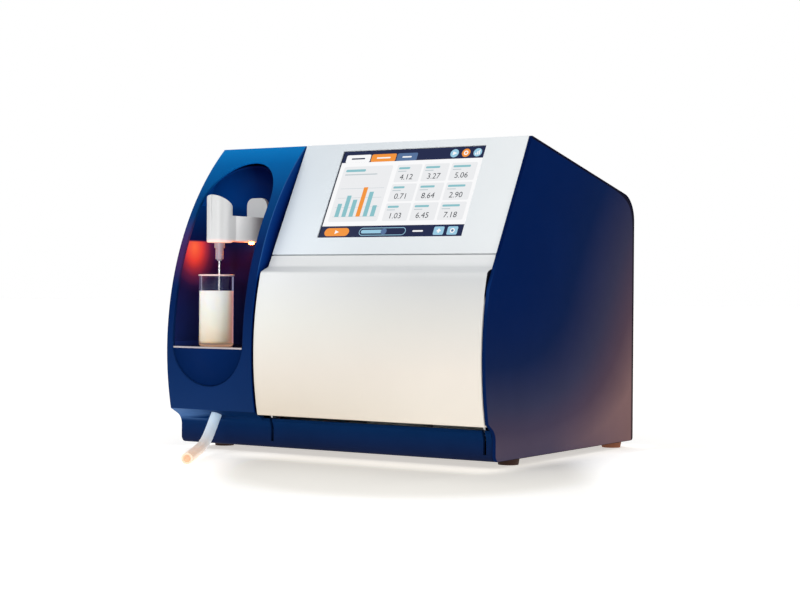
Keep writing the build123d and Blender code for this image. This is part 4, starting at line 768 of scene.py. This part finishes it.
def screen_ink(name, colour):
    """Light of one colour of the picture, with a fine pixel noise."""
    m = Material(name, 0.12, Specular_IOR_Level=0.1)
    pixel = m.remap(m.noise(2400, 1), 0.35, 0.65, 0.97, 1.0)
    m.colour(srgb(2, 3, 5))
    m.emit(m.mix(1.0, colour, m.grey(pixel), "MULTIPLY"), 0.97)
    return m.material


def board():
    """Circuit board with fine traces."""
    m = Material("board_green", 0.35, Specular_IOR_Level=0.5)
    brick = m.node("ShaderNodeTexBrick", offset=0.37, squash=1.4)
    brick.inputs["Scale"].default_value = 90
    brick.inputs["Mortar Size"].default_value = 0.03
    brick.inputs["Color1"].default_value = srgb(16, 84, 52)
    brick.inputs["Color2"].default_value = srgb(12, 70, 44)
    brick.inputs["Mortar"].default_value = srgb(60, 130, 80)
    turn = m.node("ShaderNodeMapping")
    turn.inputs["Rotation"].default_value = (0, math.radians(90), 0)
    m.join(m.coords.outputs["Object"], turn.inputs["Vector"])
    m.join(turn.outputs["Vector"], brick.inputs["Vector"])
    m.colour(m.vary(brick.outputs["Color"], 0.05, 30))
    m.bump(m.noise(500, 3), 0.1, 0.0001)
    return m.material


MATERIALS = {
    "navy_paint": navy_paint(),
    "base_paint": base_paint(),
    "column_plastic": column_plastic(),
    "bay_plastic": bay_plastic(),
    "tray_plastic": moulded("tray_plastic", srgb(5, 32, 80), 0.4, ior=1.05),
    "shelf_steel": shelf_steel(),
    "steel": metal("steel", srgb(196, 198, 202), 0.22),
    "aluminium": metal("aluminium", srgb(200, 203, 207), 0.38, (1, 1, 24)),
    "brass": metal("brass", srgb(206, 176, 104), 0.3),
    "dark_metal": metal("dark_metal", srgb(52, 54, 60), 0.4),
    "dark_plastic": moulded("dark_plastic", srgb(38, 40, 44), 0.5, 700),
    "white_plastic": moulded("white_plastic", srgb(226, 226, 228), 0.36),
    "white_panel": white_panel(),
    "cream_plastic": door_plastic(),
    "clear_glass": clear_glass(),
    "clear_plastic": hub_plastic(),
    "milk": milk(),
    "silicone": silicone(),
    "rubber": rubber(),
    "bottle_plastic": moulded("bottle_plastic", srgb(222, 226, 224), 0.4),
    "blue_plastic": moulded("blue_plastic", srgb(20, 78, 150), 0.4),
    "board_green": board(),
    "light_lens": glowing("light_lens", (1.0, 0.16, 0.03, 1), 60.0),
    "screen_glass": moulded("screen_glass", srgb(6, 8, 12), 0.1, 900, 0.02, 0.5, 0.01),
    "head_plastic": head_plastic(),
}

make_hose(MATERIALS["silicone"])

# The CAD nodes take the material of their slot, apart from these two
OWN_MATERIALS = {"base_tray": "base_paint", "pipette_head": "head_plastic"}
slots = {part["node"]: part["material_slot"] for part in frame["record"]["subparts"]}
for name, node in frame["nodes"].items():
    finish = OWN_MATERIALS.get(name, slots[name])
    node.data.materials.clear()
    node.data.materials.append(MATERIALS[finish])
    weld = node.modifiers.new("weld", "WELD")
    weld.merge_threshold = 0.00001

# The beaker and its milk: feet of their axes, and of the needle's, in the shared frame
BEAKER = Vector((-125.4, -133.0, 98.0)) * MM
NEEDLE = Vector((-124.0, -130.5, 0.0)) * MM


def arc_points(centre_r, centre_z, radius, start, end, steps=6):
    """Points of an arc in a profile, angles in degrees."""
    return [
        (
            centre_r + radius * math.cos(math.radians(start + (end - start) * k / steps)),
            centre_z + radius * math.sin(math.radians(start + (end - start) * k / steps)),
        )
        for k in range(steps + 1)
    ]


def lathe(profile, sides=96, place=BEAKER):
    """Turn a profile of (radius, height) in millimetres round an upright axis."""
    bm = bmesh.new()
    rings = []
    for radius, height in profile:
        if radius == 0:
            rings.append([bm.verts.new(place + Vector((0, 0, height * MM)))])
            continue
        rings.append(
            [
                bm.verts.new(
                    place + Vector((radius * math.cos(t), radius * math.sin(t), height)) * MM
                )
                for t in (2 * math.pi * k / sides for k in range(sides))
            ]
        )
    for low, high in zip(rings, rings[1:]):
        for k in range(sides):
            n = (k + 1) % sides
            if len(low) == 1:
                bm.faces.new((low[0], high[n], high[k]))
            elif len(high) == 1:
                bm.faces.new((low[k], low[n], high[0]))
            else:
                bm.faces.new((low[k], low[n], high[n], high[k]))
    return bm


def make_beaker():
    outside = [(0, 0), (12.2, 0)] + arc_points(13, 3, 3, -90, 0)[1:] + [(16, 66.2)]
    lip = arc_points(16.3, 66.75, 0.75, -60, 75, 8) + [(15.6, 67.6)]
    lip += arc_points(15.3, 67.1, 0.5, 90, 180, 4)
    inside = [(14.8, 66.0), (14.8, 6.6)] + arc_points(11.8, 6.6, 3, 0, -90)[1:] + [(0, 3.6)]
    glass = mesh_object(
        "beaker_glass", lathe(outside + lip + inside), MATERIALS["clear_glass"], "sample", 50
    )
    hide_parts("sample_beaker")

    # the milk reaches into the glass, and its surface climbs a little at the wall
    reach = 15.1
    body = [(0, 3.3), (11.8, 3.3)] + arc_points(11.8, 6.6, reach - 11.8, -90, 0)[1:]
    surface = [(reach, 52.3), (14.6, 52.3), (14.2, 51.9), (13.2, 51.72), (11, 51.7), (0, 51.7)]
    milk_body = mesh_object("milk_body", lathe(body + surface), MATERIALS["milk"], "sample", 50)
    well_foot, well_top, well_radius = 106.9, 160, 1.6
    profile = [(0, well_foot), (well_radius, well_foot), (well_radius, well_top), (0, well_top)]
    well = bpy.data.meshes.new("needle_well")
    bm = lathe(profile, 24, NEEDLE)
    bmesh.ops.recalc_face_normals(bm, faces=bm.faces)
    bm.to_mesh(well)
    bm.free()
    cutter = bpy.data.objects.new("needle_well", well)
    scene.collection.objects.link(cutter)
    cut = milk_body.modifiers.new("well", "BOOLEAN")
    cut.object = cutter
    cut.operation = "DIFFERENCE"
    shaped = mesh_of(milk_body)
    milk_body.modifiers.clear()
    milk_body.data = shaped
    smooth(shaped, 50)
    bpy.data.objects.remove(cutter)
    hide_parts("milk_sample")


make_beaker()


# The picture on the screen, drawn in millimetres on the plane of the glass
SLOPE = math.radians(27.7)
SLOPE_UP = Vector((0, math.sin(SLOPE), math.cos(SLOPE)))
SLOPE_OUT = Vector((0, -math.cos(SLOPE), math.sin(SLOPE)))
GLASS_CORNER = Vector((-26.45, -119.2, 183.6)) + 18 * SLOPE_UP - SLOPE_OUT
SCREEN_INKS = {
    "navy": srgb(34, 42, 76),
    "border": srgb(26, 32, 52),
    "white": srgb(254, 254, 255),
    "tile": srgb(240, 241, 243),
    "rule": srgb(196, 206, 210),
    "teal": srgb(140, 196, 204),
    "digit": srgb(58, 62, 68),
    "orange": srgb(247, 152, 62),
    "sky": srgb(158, 206, 230),
    "steel": srgb(88, 116, 158),
}


def on_glass(u, v, layer):
    """Place of a point of the picture, in metres: u across, v up, layer outwards."""
    height = 0.03 + 0.02 * layer
    return (GLASS_CORNER + Vector((u, 0, 0)) + v * SLOPE_UP + height * SLOPE_OUT) * MM


def box(u, v, width, height, radius=0.0):
    """Outline of a rectangle with rounded corners."""
    if radius == 0:
        return [(u, v), (u + width, v), (u + width, v + height), (u, v + height)]
    points = []
    centres = (
        (u + width - radius, v + height - radius),
        (u + radius, v + height - radius),
        (u + radius, v + radius),
        (u + width - radius, v + radius),
    )
    for corner, (centre_u, centre_v) in enumerate(centres):
        for k in range(9):
            turn = math.pi / 2 * (corner + k / 8)
            points.append((centre_u + radius * math.cos(turn), centre_v + radius * math.sin(turn)))
    return points


class Picture:
    """Flat shapes of several inks, drawn in the plane of the glass."""

    def __init__(self):
        self.inks = {name: bmesh.new() for name in SCREEN_INKS}

    def fill(self, ink, points, layer):
        bm = self.inks[ink]
        bm.faces.new([bm.verts.new(on_glass(u, v, layer)) for u, v in points])

    def disc(self, ink, u, v, radius, layer):
        self.fill(ink, box(u - radius, v - radius, 2 * radius, 2 * radius, radius), layer)

    def number(self, ink, text, u, v, size, layer):
        mesh = digits(text, size, resolution_u=3)
        bm = self.inks[ink]
        verts = [bm.verts.new(on_glass(u + p.co.x, v + p.co.y, layer)) for p in mesh.vertices]
        for face in mesh.polygons:
            bm.faces.new([verts[i] for i in face.vertices])
        bpy.data.meshes.remove(mesh)

    def finish(self):
        for name, bm in self.inks.items():
            ink = screen_ink("ink_" + name, SCREEN_INKS[name])
            piece = mesh_object("screen_" + name, bm, ink, recalculate=False)


def draw_screen():
    art = Picture()
    art.fill("border", box(0.2, 0.2, 153.1, 92.6), 0)
    art.fill("navy", box(1.4, 80.4, 151.9, 12.2), 1)
    art.fill("white", box(1.4, 12.4, 151.9, 68.0), 1)
    art.fill("navy", box(1.4, 0.2, 151.9, 12.2), 1)
    # tabs and round buttons in the header
    tabs = (("white", "navy", 5, 27), ("orange", "white", 33, 27), ("steel", "white", 61, 22))
    for ink, line, u, width in tabs:
        art.fill(ink, box(u, 80.4, width, 8.2, 1.6), 2)
        art.fill(line, box(u + 6, 83.7, width - 12, 1.5, 0.7), 3)
    for u, ink in ((122, "sky"), (134, "orange"), (146, "sky")):
        art.disc(ink, u, 86.2, 4.3, 2)
    art.fill("white", [(120.3, 84.2), (124.9, 86.2), (120.3, 88.2)], 3)
    art.disc("white", 134, 86.2, 2.3, 3)
    art.disc("orange", 134, 86.2, 1.2, 4)
    for k, height in enumerate((2.0, 3.6, 5.0)):
        art.fill("white", box(143.6 + 1.8 * k, 83.8, 1.2, height), 3)
    # a chart at the left
    art.fill("tile", box(6, 17, 54, 59, 2), 2)
    art.fill("teal", box(9, 70.2, 22, 2.6, 1.2), 3)
    art.fill("rule", box(9, 66.6, 36, 1.2, 0.6), 3)
    for v in (22, 32, 42, 52):
        art.fill("rule", box(9, v, 48, 0.35), 3)
    for k, height in enumerate((14.0, 22.5, 18.0, 31.0, 26.0, 11.5)):
        art.fill("orange" if k == 3 else "teal", box(11.4 + 7.8 * k, 22.2, 4.6, height), 4)
    # tiles with readings at the right
    readings = ("4.12", "3.27", "5.06", "0.71", "8.64", "2.90", "1.03", "6.45", "7.18")
    for k, reading in enumerate(readings):
        u, v = 65 + 28.9 * (k % 3), 57.6 - 20.3 * (k // 3)
        art.fill("tile", box(u, v, 26.4, 18.4, 1.4), 2)
        art.fill("teal", box(u + 2, v + 13.6, 12 + 3 * (k % 3), 2.2, 1), 3)
        art.fill("rule", box(u + 2, v + 11, 9, 0.9, 0.4), 3)
        art.number("digit", reading, u + 5.6, v + 2.6, 8.2, 3)
    # the footer: a pill, a progress field and two square keys
    art.fill("orange", box(6, 2.0, 27, 8.4, 4.2), 2)
    art.fill("white", [(17.6, 4.2), (22.0, 6.2), (17.6, 8.2)], 3)
    art.fill("sky", box(44, 2.2, 50, 8.0, 4.0), 2)
    art.fill("navy", box(44.6, 2.8, 48.8, 6.8, 3.4), 3)
    art.fill("sky", box(46.2, 4.4, 27, 3.6, 1.8), 4)
    art.disc("steel", 70.6, 6.2, 3.1, 5)
    art.fill("white", box(101, 5.4, 11, 1.6, 0.8), 2)
    for u in (123, 137):
        art.fill("sky", box(u, 2.0, 10.5, 8.4, 1.4), 2)
    art.fill("white", box(126.2, 5.4, 4.1, 1.6), 3)
    art.fill("white", box(127.45, 4.15, 1.6, 4.1), 4)
    art.disc("white", 142.25, 6.2, 2.4, 3)
    art.disc("steel", 142.25, 6.2, 1.3, 4)
    art.finish()


draw_screen()


# Small parts at the back and behind the door, in millimetres
BOTTLES_X = (52.125, 122.375)
BOTTLES_Y = -75.65
CAP_RIBS = 44


def slab(bm, x, y, z, chamfer):
    """Add a box between pairs of millimetre coordinates, with its edges bevelled."""
    made = bmesh.ops.create_cube(bm, size=1)["verts"]
    size = [(b - a) * MM for a, b in (x, y, z)]
    centre = [(a + b) / 2 * MM for a, b in (x, y, z)]
    for vert in made:
        vert.co = Vector([c + v * d for c, v, d in zip(centre, vert.co, size)])
    edges = list({e for v in made for e in v.link_edges})
    bmesh.ops.bevel(bm, geom=edges, offset=chamfer * MM, segments=2, affect="EDGES", profile=0.7)


def make_screw_recesses():
    """Cross recesses in the heads of the six screws at the back."""
    bm = bmesh.new()
    for x in (-158, 0, 158):
        for z in (41, 182):
            slab(bm, (x - 1.7, x + 1.7), (148.3, 148.83), (z - 0.45, z + 0.45), 0.1)
            slab(bm, (x - 0.45, x + 0.45), (148.3, 148.84), (z - 1.7, z + 1.7), 0.1)
    mesh_object("screw_recesses", bm, MATERIALS["dark_metal"])


def make_contacts():
    """Tongues and contacts in the two data sockets and the network socket."""
    tongues, pins = bmesh.new(), bmesh.new()
    for z in (53.65, 62.35):
        slab(tongues, (9.9, 21.1), (136.2, 144.6), (z + 0.5, z + 2.3), 0.2)
        for k in range(4):
            x = 11.6 + 2.6 * k
            slab(pins, (x - 0.6, x + 0.6), (137, 144), (z + 0.36, z + 0.6), 0.05)
    for k in range(8):
        x = 46.5 + 1.25 * (k - 3.5)
        slab(pins, (x - 0.3, x + 0.3), (136.2, 143.5), (61.6, 62.2), 0.08)
    mesh_object("socket_tongues", tongues, MATERIALS["dark_plastic"])
    mesh_object("socket_contacts", pins, MATERIALS["brass"])


def make_cap_ribs():
    bm = bmesh.new()
    for x in BOTTLES_X:
        for k in range(CAP_RIBS):
            turn = 2 * math.pi * k / CAP_RIBS
            rib = bmesh.new()
            slab(rib, (-0.55, 0.55), (15.6, 16.4), (140, 155.5), 0.25)
            place = Matrix.Translation(Vector((x, BOTTLES_Y, 0)) * MM)
            rib.transform(place @ Matrix.Rotation(turn, 4, "Z"))
            data = bpy.data.meshes.new("rib")
            rib.to_mesh(data)
            rib.free()
            bm.from_mesh(data)
            bpy.data.meshes.remove(data)
    mesh_object("cap_ribs", bm, MATERIALS["blue_plastic"])


def make_bottle_labels():
    """Blank labels with a coloured band and a plain number."""
    paper, marks = bmesh.new(), bmesh.new()
    for x in BOTTLES_X:
        slab(paper, (x - 22, x + 22), (-102.78, -102.5), (58, 108), 0.05)
        slab(marks, (x - 22, x + 22), (-102.84, -102.6), (98, 105), 0.02)
    for number, x in zip(("1", "2"), BOTTLES_X):
        mesh = digits(number, 26, extrude=0.03, align_x="CENTER")
        place = Matrix.Translation(Vector((x, -102.8, 66)) * MM)
        mesh.transform(place @ Matrix.Rotation(math.pi / 2, 4, "X") @ Matrix.Scale(MM, 4))
        marks.from_mesh(mesh)
        bpy.data.meshes.remove(mesh)
    mesh_object("bottle_labels", paper, MATERIALS["white_plastic"])
    mesh_object("label_marks", marks, MATERIALS["blue_plastic"])


make_screw_recesses()
make_contacts()
make_cap_ribs()
make_bottle_labels()


# The studio

def make_floor():
    bm = bmesh.new()
    bmesh.ops.create_grid(bm, x_segments=1, y_segments=1, size=14)
    data = bpy.data.meshes.new("studio_floor")
    bm.to_mesh(data)
    bm.free()
    floor = bpy.data.objects.new("studio_floor", data)
    m = Material("studio_floor", 0.7, Specular_IOR_Level=0.1)
    # a soft oval shade on the floor in front of the case
    cos_turn, sin_turn = 0.844, 0.537
    across = m.plus(m.times(m.axis("X"), cos_turn), m.times(m.axis("Y"), sin_turn))
    along = m.minus(m.times(m.axis("Y"), cos_turn), m.times(m.axis("X"), sin_turn))
    half_width, half_depth, forward = 0.165, 0.2, 0.21
    wide_2 = m.math("POWER", m.math("DIVIDE", across, half_width), 2.0)
    deep_2 = m.math("POWER", m.math("DIVIDE", m.plus(along, forward), half_depth), 2.0)
    oval = m.remap(m.plus(wide_2, deep_2), 1.15, 0.6)
    m.colour(m.mix(oval, srgb(244, 242, 238), srgb(222, 218, 210)))
    # painted light: the floor glows brighter beside the oval, wiping the shadows at the case's
    # sides
    beside = m.remap(m.absolute(across), 0.13, 0.19)
    beside = m.times(beside, m.remap(along, 0.02, -0.05))
    # painted light: the floor glows right under the case, softening the shadow there
    wide = m.remap(m.absolute(m.axis("X")), 0.2, 0.16)
    deep = m.remap(m.absolute(m.axis("Y")), 0.185, 0.135)
    below = m.times(wide, deep)
    lit = m.mix(beside, (0.2, 0.2, 0.2, 1), (0.5, 0.5, 0.5, 1))
    m.emit(m.mix(below, lit, (0.6, 0.57, 0.53, 1)), 1.0)
    data.materials.append(m.material)
    scene.collection.objects.link(floor)


def make_world():
    """White to the camera, a soft grey dome for light and reflections."""
    world = bpy.data.worlds.new("studio")
    scene.world = world
    world.use_nodes = True
    tree = world.node_tree
    path = tree.nodes.new("ShaderNodeLightPath")
    seen = tree.nodes["Background"]
    dome = tree.nodes.new("ShaderNodeBackground")
    mix = tree.nodes.new("ShaderNodeMixShader")
    seen.inputs["Color"].default_value = (1, 1, 1, 1)
    dome.inputs["Color"].default_value = (0.98, 0.99, 1.0, 1)
    dome.inputs["Strength"].default_value = 0.56
    tree.links.new(path.outputs["Is Camera Ray"], mix.inputs[0])
    tree.links.new(dome.outputs[0], mix.inputs[1])
    tree.links.new(seen.outputs[0], mix.inputs[2])
    tree.links.new(mix.outputs[0], tree.nodes["World Output"].inputs["Surface"])


def add_light(data, place, direction):
    light = bpy.data.objects.new(data.name, data)
    light.location = place
    light.rotation_euler = Vector(direction).to_track_quat("-Z", "Y").to_euler()
    light.visible_camera = False
    scene.collection.objects.link(light)


def area_light(name, place, target, size, power):
    data = bpy.data.lights.new(name, "AREA")
    data.shape = "RECTANGLE"
    data.size, data.size_y = size
    data.energy = power
    add_light(data, place, Vector(target) - Vector(place))


def sun_light(name, source, power, angle):
    """Light from the direction of source, as soft as its angle in degrees is wide."""
    data = bpy.data.lights.new(name, "SUN")
    data.energy = power
    data.angle = math.radians(angle)
    add_light(data, (0, 0, 0), -Vector(source))


def lamp_light(name, place, power, radius, colour):
    data = bpy.data.lights.new(name, "POINT")
    data.energy = power
    data.color = colour
    data.shadow_soft_size = radius
    add_light(data, place, (0, 0, -1))


def spot_light(name, place, target, power, radius, cone):
    data = bpy.data.lights.new(name, "SPOT")
    data.energy = power
    data.shadow_soft_size = radius
    data.spot_size = math.radians(cone)
    data.spot_blend = 1.0
    add_light(data, place, Vector(target) - Vector(place))


make_floor()
make_world()
sun_light("back_light", (-0.45, 1.15, 1.15), 1.65, 50)
spot_light("niche_light", (0.42, -1.28, 0.3), (-0.124, -0.12, 0.18), 30, 0.1, 11)
lamp_light("lamp_light", (-0.122, -0.084, 0.1915), 0.05, 0.003, (1.0, 0.2, 0.05))
area_light("key_light", (-0.9, -1.5, 1.3), (-0.05, 0, 0.15), (1.2, 0.9), 7)
area_light("fill_light", (1.3, -1.5, 0.9), (0.05, 0, 0.12), (1.0, 0.8), 4)
scene.view_settings.view_transform = "Standard"
